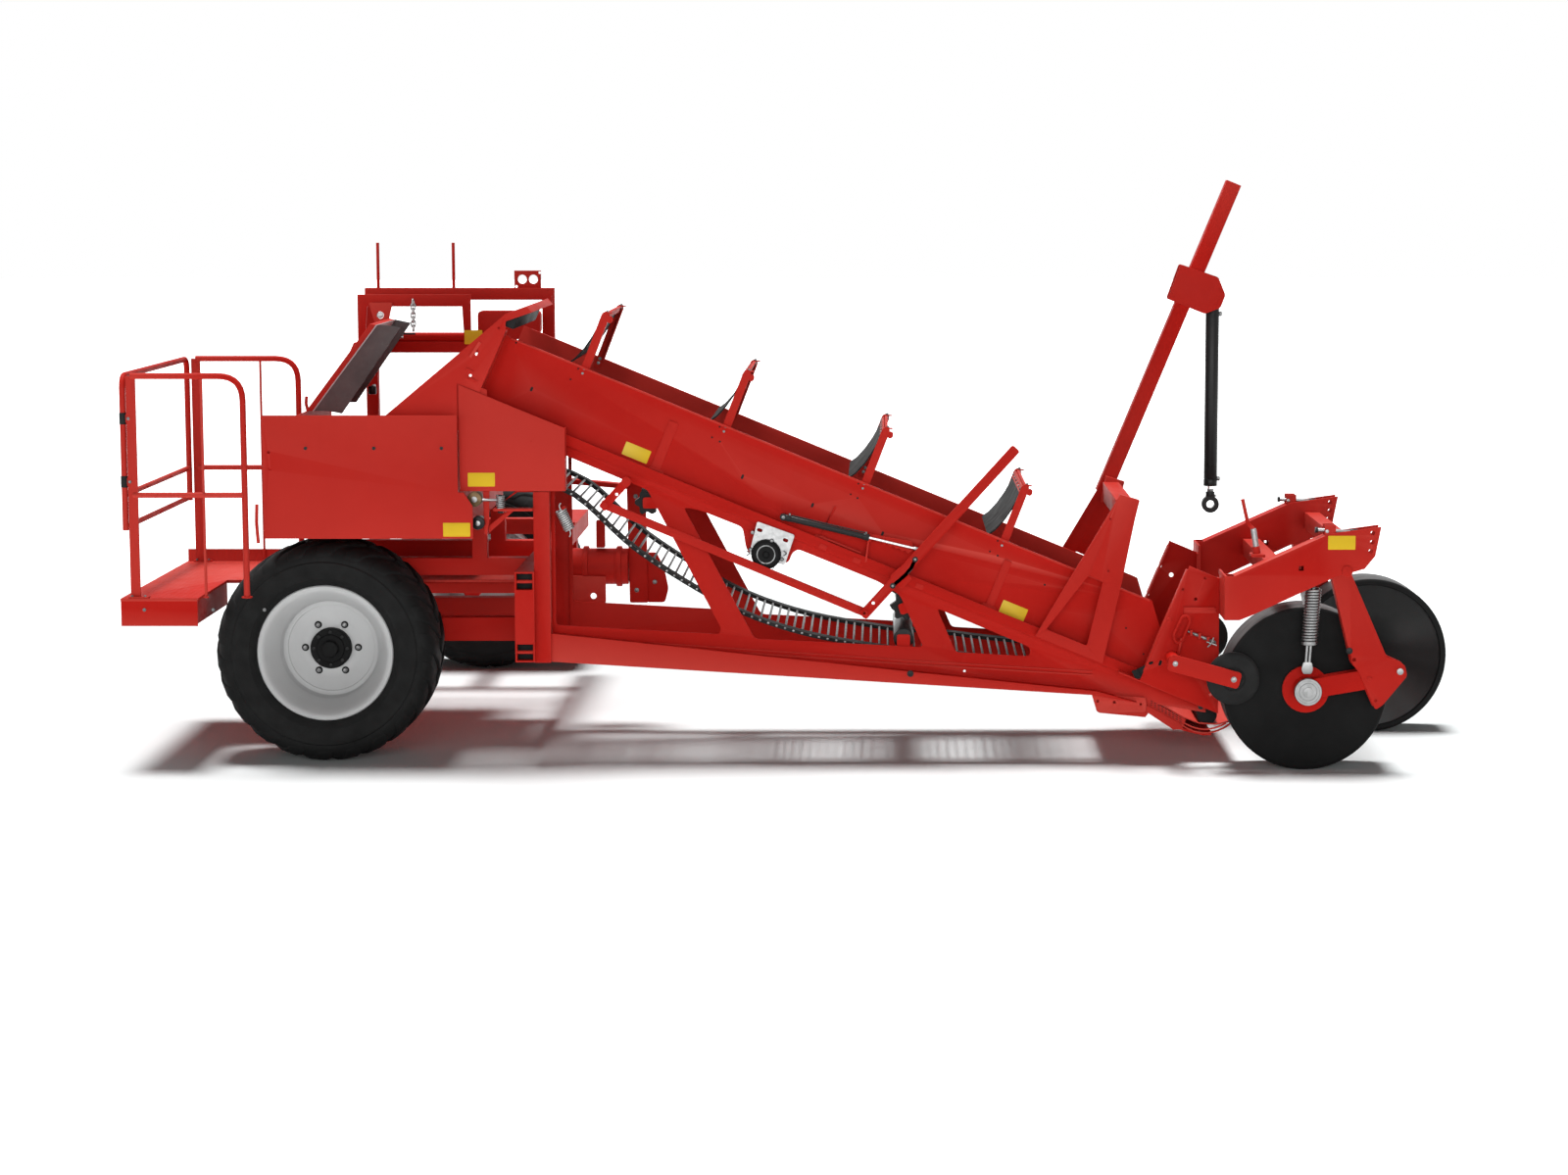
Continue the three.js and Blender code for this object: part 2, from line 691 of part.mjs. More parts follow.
// The return run sags from below the drive roller, under the guide roller, to the front roller.
function returnRun(offset) {
  const under = guideRollerAt[1] - guideRollerRadius - webClearance - webThickness / 2 - 1;
  const [driveX, driveZ] = driveRoller;
  const [frontX, frontZ] = frontRoller;
  const middle = webClearance + webThickness / 2;
  const reach = frontRollerRadius + middle;
  const leaving = THREE.MathUtils.degToRad(frontRollerExit);
  const stops = [
    [frontX + reach * Math.cos(leaving), frontZ + reach * Math.sin(leaving)], [900, 425], [500, 470],
    [guideRollerAt[0] + 120, under - 4],
    [guideRollerAt[0], under], [guideRollerAt[0] - 120, under + 16], [-340, 585], [-620, 680], [-870, 815],
    [-1130, 990], [-1400, 1230], [driveX, driveZ - driveRollerRadius - middle - 150],
    [driveX - driveRollerRadius - middle, driveZ - driveRollerRadius],
    [driveX - driveRollerRadius - middle, driveZ],
  ];
  const places = stops.map(([x, z]) => new THREE.Vector3(x, 0, z));
  const curve = new THREE.CatmullRomCurve3(places, false, "centripetal");
  const count = 44;
  const points = [];
  for (let index = 1; index < count; index += 1) {
    const point = curve.getPointAt(index / count);
    const tangent = curve.getTangentAt(index / count);
    points.push(new THREE.Vector2(point.x - tangent.z * offset, point.z + tangent.x * offset));
  }
  return points;
}

function webOutline(level) {
  return [
    ...rollerArc(frontRoller, frontRollerRadius + webClearance + level, 60, frontRollerExit),
    ...returnRun(level - webThickness / 2),
    ...rollerArc(driveRoller, driveRollerRadius + webClearance + level, 180, 75),
  ];
}

function webLoop() {
  const sides = [channelCentre - webHalf, channelCentre + webHalf];
  return cut(
    plate(new THREE.Shape(webOutline(webThickness)), ...sides),
    plate(new THREE.Shape(webOutline(0)), sides[0] - 1, sides[1] + 1),
  );
}
part("lifting_web", webBlack, webLoop());

function crossRoller(at, radius, shaft, half) {
  return joined(
    cylinderAlongY(at, shaft, sideY(right, half - gap), sideY(left, half - gap), 12),
    cylinderAlongY(at, radius, sideY(right, webHalf), sideY(left, webHalf), rollerSides),
  );
}
const wallInside = channelHalf - sheet;
const bracketInside = wallInside - bracketPlate;
part("web_drive_roller", black, crossRoller(driveRoller, driveRollerRadius, 25, wallInside));
part("web_front_roller", black, crossRoller(frontRoller, frontRollerRadius, 20, wallInside));
part("web_guide_roller", black, crossRoller(guideRollerAt, guideRollerRadius, 18, bracketInside));

function starShaft(at) {
  const teeth = 6;
  const points = [];
  for (let corner = 0; corner < teeth * 2; corner += 1) {
    const radius = corner % 2 ? 40 : 64;
    const angle = corner * Math.PI / teeth;
    points.push([at[0] + radius * Math.cos(angle), at[1] + radius * Math.sin(angle)]);
  }
  let rotor = cylinderAlongY(at, 18, sideY(right, bracketInside - gap), sideY(left, bracketInside - gap), 12);
  for (const offset of [-330, 270]) {
    rotor = rotor.add(polygonPlate(points, channelCentre + offset, channelCentre + offset + 60));
  }
  return rotor;
}
part("rear_agitator", black, starShaft(rearStarAt));
part("front_agitator", black, starShaft(frontStarAt));

const motorAt = [-508, 963];
function webMotor() {
  const plateFace = channelHalf + flangeWidth + gap;
  const spacers = [[-570, 1060], [-450, 1012]].map((at) => cylinderAlongY(
    at, 9, sideY(right, plateFace + 1), sideY(right, channelHalf + gap), 12,
  ));
  return joined(
    cylinderAlongY(motorAt, 58, sideY(right, plateFace + 22), sideY(right, plateFace), 24),
    bar([motorAt[0] - 80, 1030], [motorAt[0] + 80, 975], 100, ...between(right, plateFace, plateFace + 8)),
    ...spacers,
  );
}
part("web_motor", black, webMotor());

// ---- agitator linkage -------------------------------------------------------------------------
const leverTop = [610, 1434];
function agitatorLever() {
  return joined(
    bar(leverFoot, leverTop, 45, ...leverY, 20, 12),
    bar([95, 870], agitatorPivot, 70, ...leverY, 26, 14),
    cylinderAlongY(leverFoot, 12, leverY[0] - 8, linkY[0] - bearingGap, 16),
    cylinderAlongY(rodEye, 12, leverY[1] - 1, cylinderY - 10 - bearingGap, 16),
  );
}
part("agitator_lever", red, agitatorLever());
part("agitator_link", red, bar(leverFoot, rearArmFoot, 38, ...linkY, 20, 10));
part("agitator_rear_arm", red, joined(
  bar(rearArmPivot, rearArmFoot, 38, ...leverY, 20, 10),
  cylinderAlongY(rearArmPivot, 22, leverY[0] - 10, leverY[1], 20),
  cylinderAlongY(rearArmFoot, 12, leverY[0] - 8, linkY[0] - bearingGap, 16),
));

function towards([x0, z0], [x1, z1], distance) {
  const length = Math.hypot(x1 - x0, z1 - z0);
  return [x0 + (x1 - x0) * distance / length, z0 + (z1 - z0) * distance / length];
}
const agitatorBarrelLength = 400;
const agitatorBarrelRadius = 14;
const agitatorRodRadius = 6.5;
const alongCylinder = (distance) => {
  const [x, z] = towards(cylinderFoot, rodEye, distance);
  return [x, cylinderY, z];
};

function agitatorBarrel() {
  const end = alongCylinder(agitatorBarrelLength);
  const tube = cylinderBetween(alongCylinder(0), end, agitatorBarrelRadius, 20);
  const bore = cylinderBetween(
    alongCylinder(20), alongCylinder(agitatorBarrelLength + 9), agitatorRodRadius + bearingGap, 12,
  );
  const foot = cylinderAlongY(cylinderFoot, 16, cylinderY - footHalf, cylinderY + footHalf, 16);
  return cut(tube, bore).add(foot);
}
part("agitator_barrel", black, agitatorBarrel());

function agitatorRod() {
  const reach = Math.hypot(rodEye[0] - cylinderFoot[0], rodEye[1] - cylinderFoot[1]);
  const rod = cylinderBetween(alongCylinder(60), alongCylinder(reach), agitatorRodRadius, 12);
  return rod.add(cylinderAlongY(rodEye, 14, cylinderY - 10, cylinderY + 10, 16));
}
part("agitator_rod", chrome, agitatorRod());

// ---- curtain holders ----------------------------------------------------------------------------
const holderFeet = [395, 1085, 1765, 2450];
const holderLength = 310;
const holderLean = THREE.MathUtils.degToRad(68);
function curtainHolder(along) {
  const foot = channelPoint(along, -40);
  const top = [foot[0] + holderLength * Math.cos(holderLean), foot[1] + holderLength * Math.sin(holderLean)];
  const inside = wallInside - gap;
  const flap = [sideY(right, inside - 7), sideY(left, inside - 7)];
  let holder = bar(towards(foot, top, 80), towards(foot, top, holderLength - 10), 12, ...flap);
  for (const side of [right, left]) {
    holder = holder.add(bar(foot, top, 36, ...between(side, inside - 8, inside)));
  }
  return holder;
}
holderFeet.forEach((along, index) => {
  part(`curtain_holder_${index + 1}`, red, curtainHolder(along));
});

// ---- A-frames, mast and lift cylinder -----------------------------------------------------------
const frameOuter = channelHalf + 60; // outer face of an A-frame, from the middle plane
const apex = [[1096, 1235], [1184, 1208], [1163, 1120]];
function aFrame(side) {
  const wallFace = channelHalf + flangeWidth + gap;
  const footZ = (x) => channelBottom(x) + 8;
  const shape = outline([
    ...apex, [1105, 830], [1022, footZ(1022)], [715, footZ(715)],
  ]);
  shape.holes.push(outline([[955, 868], [1020, 838], [950, footZ(950) + 52], [765, footZ(765) + 52]], 10));
  return joined(
    plate(shape, ...between(side, frameOuter - 8, frameOuter)),
    polygonPlate([...apex, [1070, 1110]], ...between(side, channelHalf + gap, frameOuter - 1)),
    bar([1159, 1130], [1102, 830], 8, ...between(side, wallFace, frameOuter - 1), 2),
    bar([1102, 832], [1018, footZ(1018) + 4], 8, ...between(side, wallFace, frameOuter - 1), 2),
  );
}
part("right_a_frame", red, aFrame(right));
part("left_a_frame", red, aFrame(left));
part("bridge_beam", red, box(
  [1080, 1156],
  [sideY(right, channelHalf), sideY(left, channelHalf)],
  [1118, 1208],
));

const mastY = [sideY(left, frameOuter + gap), sideY(left, frameOuter + gap) + 86];
const liftCylinderY = (mastY[0] + mastY[1]) / 2;
const bracketOutline = [[1447, 2248], [1628, 2186], [1663, 2101], [1639, 2039], [1564, 2011], [1387, 2082]];
function mast() {
  const foot = towards(mastBase, mastTop, -60);
  return joined(
    bar(foot, mastTop, mastWidth, ...mastY),
    polygonPlate(bracketOutline, mastY[0] - 12, mastY[0], 12),
    polygonPlate(bracketOutline, mastY[1], mastY[1] + 12, 12),
  );
}
part("lift_mast", red, mast());

const barrelEnd = 1180;
const onLiftAxis = (z) => [liftPin[0], liftCylinderY, z];
function liftBarrel() {
  const half = 42.5;
  const tube = cylinderBetween(onLiftAxis(2050), onLiftAxis(barrelEnd), liftCylinderRadius, 24);
  const bore = cylinderBetween(onLiftAxis(2000), onLiftAxis(barrelEnd - 5), liftRodRadius + bearingGap, 16);
  return joined(
    cut(tube, bore),
    cylinderAlongY(liftPin, 30, liftCylinderY - half, liftCylinderY + half, 20),
    box([liftPin[0] - 24, liftPin[0] + 24], [liftCylinderY - 20, liftCylinderY + 20], [2040, 2070]),
    box([liftPin[0] + 28, liftPin[0] + 52], [liftCylinderY - 10, liftCylinderY + 10], [1208, 1232]),
  );
}
part("lift_barrel", black, liftBarrel());

function liftRod() {
  const eye = [liftPin[0], liftEyeZ];
  const rod = joined(
    cylinderBetween(onLiftAxis(1990), onLiftAxis(liftEyeZ + 30), liftRodRadius, 16),
    cylinderAlongY(eye, 42, liftCylinderY - 22, liftCylinderY + 22, 24),
  );
  return cut(rod, cylinderAlongY(eye, 19, liftCylinderY - 30, liftCylinderY + 30, 16));
}
part("lift_rod", chrome, liftRod());

// ---- inlet, share and press wheels ------------------------------------------------------------
const inletOuter = channelHalf + 95;
const inletFront = 1547;
const pressPivot = [1333, 496];
const pressAxle = [1596, 424];
const pressArmInner = channelHalf + 280;
function inletPlate(side) {
  const face = between(side, inletOuter - sheet, inletOuter);
  const depth = between(side, channelHalf + flangeWidth + gap, inletOuter);
  return joined(
    polygonPlate([
      [1188, channelBottom(1188)], [1410, 915], [inletFront, 857], [inletFront, channelBottom(inletFront)],
    ], ...face),
    box([inletFront - 8, inletFront], depth, [300, 857]),
    bar([1205, 425], [1405, 900], 8, ...depth, -6),
    bar(channelPoint(3160, 3 - channelDepth), channelPoint(3455, 3 - channelDepth), 6, ...depth),
    cylinderAlongY(pressPivot, 30, ...between(side, inletOuter - 1, pressArmInner + 1), 16),
    bar(pressPivot, pressAxle, 76, ...between(side, pressArmInner, pressArmInner + 10), 30, 20),
  );
}
part("right_inlet_plate", red, inletPlate(right));
part("left_inlet_plate", red, inletPlate(left));

function pressWheel(side) {
  const half = pressWheelWidth / 2;
  const hub = half + runningGap;
  const y = sideY(side, pressArmInner - hub - bearingGap);
  const profile = [
    [0, -hub], [26, -hub], [26, -half], [pressWheelRadius - 14, -half], [pressWheelRadius, -half / 2],
    [pressWheelRadius, half / 2], [pressWheelRadius - 14, half], [0, half],
  ];
  return turned(onSide(side, profile), pressAxle, y, 30);
}
part("right_press_wheel", rubber, pressWheel(right));
part("left_press_wheel", rubber, pressWheel(left));

function share() {
  const cheek = wallInside - gap;
  const y = [sideY(right, cheek - 15), sideY(left, cheek - 15)];
  const blade = outline([
    [1000, 262], [1239, 222], [1400, 140], [1490, 118], [1530, 120], [1530, 132],
    [1490, 130], [1404, 152], [1244, 234], [1002, 274],
  ]);
  const side = [[1000, 350], [1240, 330], [1240, 226], [1225, 205], [1015, 225], [1000, 262]];
  return joined(
    plate(blade, ...y),
    polygonPlate(side, ...between(right, cheek - 20, cheek)),
    polygonPlate(side, ...between(left, cheek - 20, cheek)),
  );
}
part("digging_share", red, share());

// ---- front frame ------------------------------------------------------------------------------
const armOutline = [
  [inletFront + gap, 696], [inletFront + gap, 895], [1590, 895], [2014, 1086], [2242, 1117], [2217, 985],
  [2170, 927], [2034, 888], [1671, 719], [1614, 696],
];
const armPlate = 10;
function frontArm(side) {
  const across = between(side, armInner, armOuter);
  return joined(
    polygonPlate(armOutline, ...between(side, armOuter - armPlate, armOuter)),
    polygonPlate(armOutline, ...between(side, armInner, armInner + armPlate)),
    box([inletFront + gap, inletFront + 10], between(side, inletOuter - 50, armOuter), [696, 895]),
    polygonPlate([[1590, 895], [2014, 1086], [2016, 1077], [1594, 886]], ...across),
    polygonPlate([[1671, 719], [2034, 888], [2031, 897], [1668, 728]], ...across),
    polygonPlate([[1552, 696], [1614, 696], [1671, 719], [1668, 728], [1612, 705], [1552, 705]], ...across),
  );
}
part("right_front_arm", red, frontArm(right));
part("left_front_arm", red, frontArm(left));

const armSpan = [sideY(right, armInner - gap), sideY(left, armInner - gap)];
part("front_crossmember", red, joined(
  box([1780, 1860], armSpan, [830, 910]),
  box([2080, 2150], armSpan, [960, 1040]),
  box([1800, 2149], [channelCentre - 260, channelCentre - 200], [831, 909]),
  box([2081, 2149], [channelCentre - 260, channelCentre - 200], [831, 1039]),
));

const legPivot = [2200, 430];
const legPlateThickness = 12;
function leg(side, plateOutline) {
  const belowArm = polygonPlate(armOutline, ...between(side, armInner - 10, armOuter + 10));
  const postOutline = [[2025, 885], [2105, 920], [2280, 522], [2110, 545]];
  const post = polygonPlate(postOutline, ...between(side, armInner, armOuter));
  const cheeks = [armOuter - legPlateThickness, armInner].map((inner) => polygonPlate(
    plateOutline, ...between(side, inner, inner + legPlateThickness), 14,
  ));
  const clearance = new THREE.Matrix4().makeTranslation(0, 0, -gap);
  return cut(joined(post, ...cheeks), belowArm, belowArm.transform(clearance.elements));
}

const rightLegPlate = [
  [2112, 560], [2120, 500], [2151, 464], [2229, 290], [2262, 312], [2370, 445], [2358, 495], [2280, 530],
];
const leftLegPlate = [
  [2112, 560], [2120, 500], [2151, 464], [2229, 290], [2369, 300], [2440, 371], [2400, 480], [2280, 530],
];
const legInside = between(right, armInner + legPlateThickness + gap, armOuter - legPlateThickness - gap);
part("right_wheel_leg", red, leg(right, rightLegPlate));
const leftAxleY = between(left, depthWheelOuter + bearingGap, armOuter);
part("left_wheel_leg", red, joined(
  leg(left, leftLegPlate),
  cylinderAlongY([leftDepthWheelX, depthWheelRadius], 40, ...leftAxleY, 20),
));

const rightHub = [rightDepthWheelX, depthWheelRadius];
part("right_wheel_arm", red, joined(
  bar(legPivot, [1960, 388], 88, ...legInside, 40, 20),
  cylinderAlongY(rightHub, 106, ...between(right, depthWheelOuter + bearingGap, armInner + 10), 30),
  cylinderAlongY(rightHub, 62, ...between(right, armInner + 9, armOuter - 8), 24),
));

function depthWheel(name, side, x) {
  const w = depthWheelWidth;
  const r = depthWheelRadius;
  const rimRing = 30;
  const profile = [[0, 0], [r, 0], [r, w], [r - rimRing, w], [r - rimRing, w - 10], [90, 40], [0, 40]];
  part(name, black, turned(onSide(side, profile), [x, r], sideY(side, depthWheelOuter), 40));
}
depthWheel("right_depth_wheel", right, rightDepthWheelX);
depthWheel("left_depth_wheel", left, leftDepthWheelX);

function springStrut(side, x) {
  const y = sideY(side, (armInner + armOuter) / 2);
  return joined(
    cylinderBetween([x, y, 575], [x - 4, y, 822], 32, 16),
    cylinderBetween([x, y, depthWheelRadius + 62 + gap], [x, y, 580], 10, 12),
  );
}
part("right_spring_strut", zinc, springStrut(right, 1935));

// ---- placing --------------------------------------------------------------------------------
const bounds = new THREE.Box3().setFromObject(harvester);
const middle = bounds.getCenter(new THREE.Vector3());
harvester.position.set(-middle.x, -middle.y, -bounds.min.z);

export default harvester;
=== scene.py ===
import json
import math

import bmesh
import bpy
from mathutils import Matrix, Vector


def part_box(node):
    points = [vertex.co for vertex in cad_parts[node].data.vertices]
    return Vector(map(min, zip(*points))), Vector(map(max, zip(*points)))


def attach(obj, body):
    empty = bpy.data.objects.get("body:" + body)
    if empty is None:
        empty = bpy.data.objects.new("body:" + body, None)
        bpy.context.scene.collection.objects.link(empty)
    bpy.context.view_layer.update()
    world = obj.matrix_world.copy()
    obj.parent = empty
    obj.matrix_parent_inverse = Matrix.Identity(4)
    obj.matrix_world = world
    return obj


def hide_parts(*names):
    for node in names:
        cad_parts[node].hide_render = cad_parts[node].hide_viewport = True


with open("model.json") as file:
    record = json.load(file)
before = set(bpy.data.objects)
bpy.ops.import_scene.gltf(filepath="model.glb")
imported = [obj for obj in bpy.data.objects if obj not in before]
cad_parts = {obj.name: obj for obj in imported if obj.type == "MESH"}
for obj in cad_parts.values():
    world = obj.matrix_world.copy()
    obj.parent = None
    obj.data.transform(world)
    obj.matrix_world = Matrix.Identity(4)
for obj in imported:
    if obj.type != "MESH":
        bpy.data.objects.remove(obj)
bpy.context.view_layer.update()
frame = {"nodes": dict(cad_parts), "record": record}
nodes = frame["nodes"]
slot_of_node = {entry["node"]: entry["material_slot"] for entry in frame["record"]["subparts"]}
body_of_node = {name: body for body, members in frame["record"]["behaviour"]["bodies"].items()
                for name in members}

# ---- places ----
# The machine's own drawing coordinates, in millimetres: X forward, Y from the outer face of the
# right depth wheel to the machine's left, Z up from the ground.
MM = 0.001
DEPTH_WHEEL = (1927, 371)
wheel_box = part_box("right_depth_wheel")
ORIGIN = Vector(((wheel_box[0][0] + wheel_box[1][0]) / 2 - DEPTH_WHEEL[0] * MM, wheel_box[0][1], 0))
TO_WORLD = Matrix.Translation(ORIGIN) @ Matrix.Scale(MM, 4)
RIGHT, LEFT = -1, 1
OUT, UP = (0, -1, 0), (0, 0, 1)
CENTRE = 650             # middle plane of the lifting channel
WALL = 435               # from the middle plane to the outside of a channel wall
WALL_FACE = 215          # outside of the right channel wall
STRUT_OFFSET = 710       # from the middle plane to the spring strut
ARM_FACE = -103          # outside of the drawn front arm
ARM_TUCK = ARM_FACE + 110    # how far that face steps back, so that its pins end at the machine's width
PIN_END = -109.6
CHANNEL_START = (-1691, 1957)
SLOPE_DEGREES = 22.4


def channel(along, up):
    """A point of the channel's side, from its upper rear corner, along and across its slope."""
    c, s = math.cos(math.radians(SLOPE_DEGREES)), math.sin(math.radians(SLOPE_DEGREES))
    return (CHANNEL_START[0] + along * c + up * s, CHANNEL_START[1] - along * s + up * c)


def side_y(side, distance):
    return CENTRE + side * distance


def span(side, inner, outer):
    return sorted((side_y(side, inner), side_y(side, outer)))


# ---- node trees ----
WHITE = (1, 1, 1)


def rgb(value):
    """A colour, or a grey given as one number."""
    return value if isinstance(value, tuple) else (value, value, value)


def put(tree, socket, value):
    """Links a socket or sets a constant."""
    if isinstance(value, bpy.types.NodeSocket):
        tree.links.new(value, socket)
    else:
        socket.default_value = (*rgb(value), 1) if socket.type == "RGBA" else value


def add_node(tree, kind, *values, **named):
    made = tree.nodes.new("ShaderNode" + kind)
    for socket, value in zip(made.inputs, values):
        put(tree, socket, value)
    for name, value in named.items():
        put(tree, made.inputs[name.replace("_", " ")], value)
    return made


def add_math(tree, operation, first, second):
    made = add_node(tree, "Math", first, second)
    made.operation = operation
    return made.outputs[0]


def cleared(holder):
    holder.use_nodes = True
    holder.node_tree.nodes.clear()
    return holder.node_tree


# ---- camera, light and floor ----
LENS, LENS_SHIFT = 76.5, -0.06
CAMERA_PLACE, CAMERA_TILT = (0, -14860, 2667), 7.042
AMBIENT = 0.03
FLOOR_COLOR = (0.83, 0.86, 0.86)
FLOOR_REACH = 70


def add_object(name, data):
    item = bpy.data.objects.new(name, data)
    bpy.context.scene.collection.objects.link(item)
    return item


def add_camera():
    data = bpy.data.cameras.new("camera")
    data.lens, data.sensor_width = LENS, 36
    data.shift_x = LENS_SHIFT
    data.clip_end = 200
    camera = add_object("camera", data)
    camera.location = ORIGIN + Vector(CAMERA_PLACE) * MM
    camera.rotation_euler = (math.radians(90 - CAMERA_TILT), 0, 0)
    bpy.context.scene.camera = camera


def add_lamp(name, place, target, size, power):
    data = bpy.data.lights.new(name, "AREA")
    data.shape = "RECTANGLE"
    data.size, data.size_y = size
    data.energy = power
    lamp = add_object(name, data)
    lamp.location = place
    lamp.rotation_euler = (Vector(target) - Vector(place)).to_track_quat("-Z", "Y").to_euler()


def add_sun(power, spread, tilt):
    data = bpy.data.lights.new("sky_panel", "SUN")
    data.energy = power
    data.angle = math.radians(spread)
    add_object("sky_panel", data).rotation_euler = [math.radians(angle) for angle in tilt]


def seen_directly(tree):
    """1 for what the camera, a reflection or a clear material sees directly, else 0."""
    path = tree.nodes.new("ShaderNodeLightPath").outputs
    seen = add_math(tree, "MAXIMUM", path["Is Camera Ray"], path["Is Glossy Ray"])
    return add_math(tree, "MAXIMUM", seen, path["Is Transmission Ray"])


def add_world():
    world = bpy.data.worlds.new("studio")
    bpy.context.scene.world = world
    tree = cleared(world)
    soft = add_node(tree, "Background", WHITE, AMBIENT)
    white = add_node(tree, "Background", WHITE, 1)
    mix = add_node(tree, "MixShader", seen_directly(tree), soft.outputs[0], white.outputs[0])
    add_node(tree, "OutputWorld", mix.outputs[0])


def add_floor():
    """A pale floor whose own light grows with distance, so that it meets the white background."""
    mesh = bpy.data.meshes.new("floor")
    corners = [(x * FLOOR_REACH, y * FLOOR_REACH, 0) for x, y in ((-1, -1), (1, -1), (1, 1), (-1, 1))]
    mesh.from_pydata(corners, [], [(0, 1, 2, 3)])
    material = bpy.data.materials.new("studio_floor")
    tree = cleared(material)
    place = tree.nodes.new("ShaderNodeTexCoord").outputs["Object"]
    distance = add_node(tree, "VectorMath", place)
    distance.operation = "LENGTH"
    grown = add_node(tree, "MapRange", distance.outputs["Value"], From_Min=3.0, From_Max=9.0)
    lift = add_math(tree, "MULTIPLY", seen_directly(tree), grown.outputs["Result"])
    glow = add_node(tree, "Emission", WHITE, lift)
    matte = add_node(tree, "BsdfDiffuse", FLOOR_COLOR)
    both = add_node(tree, "AddShader", matte.outputs[0], glow.outputs[0])
    add_node(tree, "OutputMaterial", both.outputs[0])
    mesh.materials.append(material)
    add_object("floor", mesh)


add_camera()
add_world()
add_sun(3.6, 18, (-7, -4, 0))
add_lamp("front", (0, -22, 4.4), (0, 0, 1), (24, 6), 1800)
add_floor()
bpy.context.scene.view_settings.view_transform = "Standard"


# ---- materials ----
def shader(name, color, roughness, metallic=0.0, specular=0.5):
    material = bpy.data.materials.new(name)
    material.use_nodes = True
    tree = material.node_tree
    bsdf = tree.nodes["Principled BSDF"]
    for socket, value in (("Base Color", color), ("Roughness", roughness), ("Metallic", metallic),
                          ("Specular IOR Level", specular)):
        put(tree, bsdf.inputs[socket], value)
    return material, tree, bsdf


def coordinates(tree, scale=(1, 1, 1), rotation=(0, 0, 0)):
    place = tree.nodes.new("ShaderNodeTexCoord").outputs["Object"]
    return add_node(tree, "Mapping", place, Scale=scale, Rotation=rotation).outputs["Vector"]


def noise(tree, vector, scale, detail=4, roughness=0.55):
    return add_node(tree, "TexNoise", vector, Scale=scale, Detail=detail, Roughness=roughness).outputs["Fac"]


def ramp(tree, value, low, high, dark=0, light=1):
    """Blends two colours between two levels of a value."""
    made = add_node(tree, "ValToRGB", value)
    for element, position, color in zip(made.color_ramp.elements, (low, high), (dark, light)):
        element.position = position
        element.color = (*rgb(color), 1)
    return made.outputs["Color"]


def mixed(tree, factor, first, second, kind="MIX"):
    made = tree.nodes.new("ShaderNodeMix")
    made.data_type, made.blend_type = "RGBA", kind
    for index, value in ((0, factor), (6, first), (7, second)):
        put(tree, made.inputs[index], value)
    return made.outputs[2]


def dress(tree, bsdf, color, rough, height, strength, distance):
    put(tree, bsdf.inputs["Base Color"], color)
    put(tree, bsdf.inputs["Roughness"], rough)
    bump(tree, bsdf, height, strength, distance)


def bump(tree, bsdf, height, strength, distance):
    made = add_node(tree, "Bump", Strength=strength, Distance=distance, Height=height)
    put(tree, bsdf.inputs["Normal"], made.outputs["Normal"])


def paint(name, dark, light, edge, roughness=(0.46, 0.58), specular=0.05):
    """Sprayed paint: faint cloudiness, orange peel, and a painted highlight, the paler edge colour laid along
    sharp edges.
    """
    material, tree, bsdf = shader(name, light, 0.4, specular=specular)
    vector = coordinates(tree)
    color = ramp(tree, noise(tree, vector, 2.2, 5), 0.3, 0.7, dark, light)
    dust = ramp(tree, noise(tree, vector, 38, 6, 0.7), 0.55, 0.95, 0, 0.16)
    color = mixed(tree, dust, color, edge)
    # Painted highlight: where the mesh is pointy, along sharp edges, the colour turns to the paler edge tone.
    painted_edge_highlight = tree.nodes.new("ShaderNodeNewGeometry").outputs["Pointiness"]
    color = mixed(tree, ramp(tree, painted_edge_highlight, 0.52, 0.62), color, edge)
    rough = ramp(tree, noise(tree, vector, 9, 4), 0.3, 0.7, *roughness)
    dress(tree, bsdf, color, rough, noise(tree, vector, 420, 2), 0.05, 0.0006)
    return material


def tread_paint(name, *tones):
    """Painted tread plate: short raised bars, every second one turned."""
    material = paint(name, *tones)
    tree = material.node_tree
    heights = []
    for turn in (45, -45):
        bars = add_node(tree, "TexBrick", coordinates(tree, rotation=(0, 0, math.radians(turn))),
                        Color1=WHITE, Color2=WHITE, Mortar=0, Scale=22, Mortar_Size=0.34,
                        Mortar_Smooth=0.6, Brick_Width=1.6, Row_Height=0.8)
        bars.offset = 0.5
        heights.append(bars.outputs["Color"])
    tall = mixed(tree, 1.0, *heights, "MULTIPLY")
    bump(tree, tree.nodes["Principled BSDF"], tall, 0.6, 0.003)
    return material


def metal(name, dark, light, roughness, scale=60, grain=(1, 1, 1)):
    material, tree, bsdf = shader(name, light, roughness, 1.0)
    vector = coordinates(tree, grain)
    spots = add_node(tree, "TexVoronoi", vector, Scale=scale).outputs["Color"]
    color = ramp(tree, spots, 0.2, 0.8, dark, light)
    rough = ramp(tree, noise(tree, vector, scale, 3), 0.3, 0.7, roughness * 0.8, roughness * 1.25)
    dress(tree, bsdf, color, rough, noise(tree, vector, scale * 6, 2), 0.06, 0.0005)
    return material


def rubber(name, dark, light, roughness):
    material, tree, bsdf = shader(name, light, roughness, specular=0.14)
    vector = coordinates(tree)
    color = ramp(tree, noise(tree, vector, 6, 6, 0.65), 0.3, 0.72, dark, light)
    scuff = ramp(tree, noise(tree, vector, 55, 5, 0.7), 0.6, 0.9, 0, 0.25)
    color = mixed(tree, scuff, color, light * 2.2)
    rough = ramp(tree, noise(tree, vector, 14, 4), 0.3, 0.7, roughness - 0.1, roughness + 0.1)
    dress(tree, bsdf, color, rough, noise(tree, vector, 360, 3), 0.25, 0.0006)
    return material
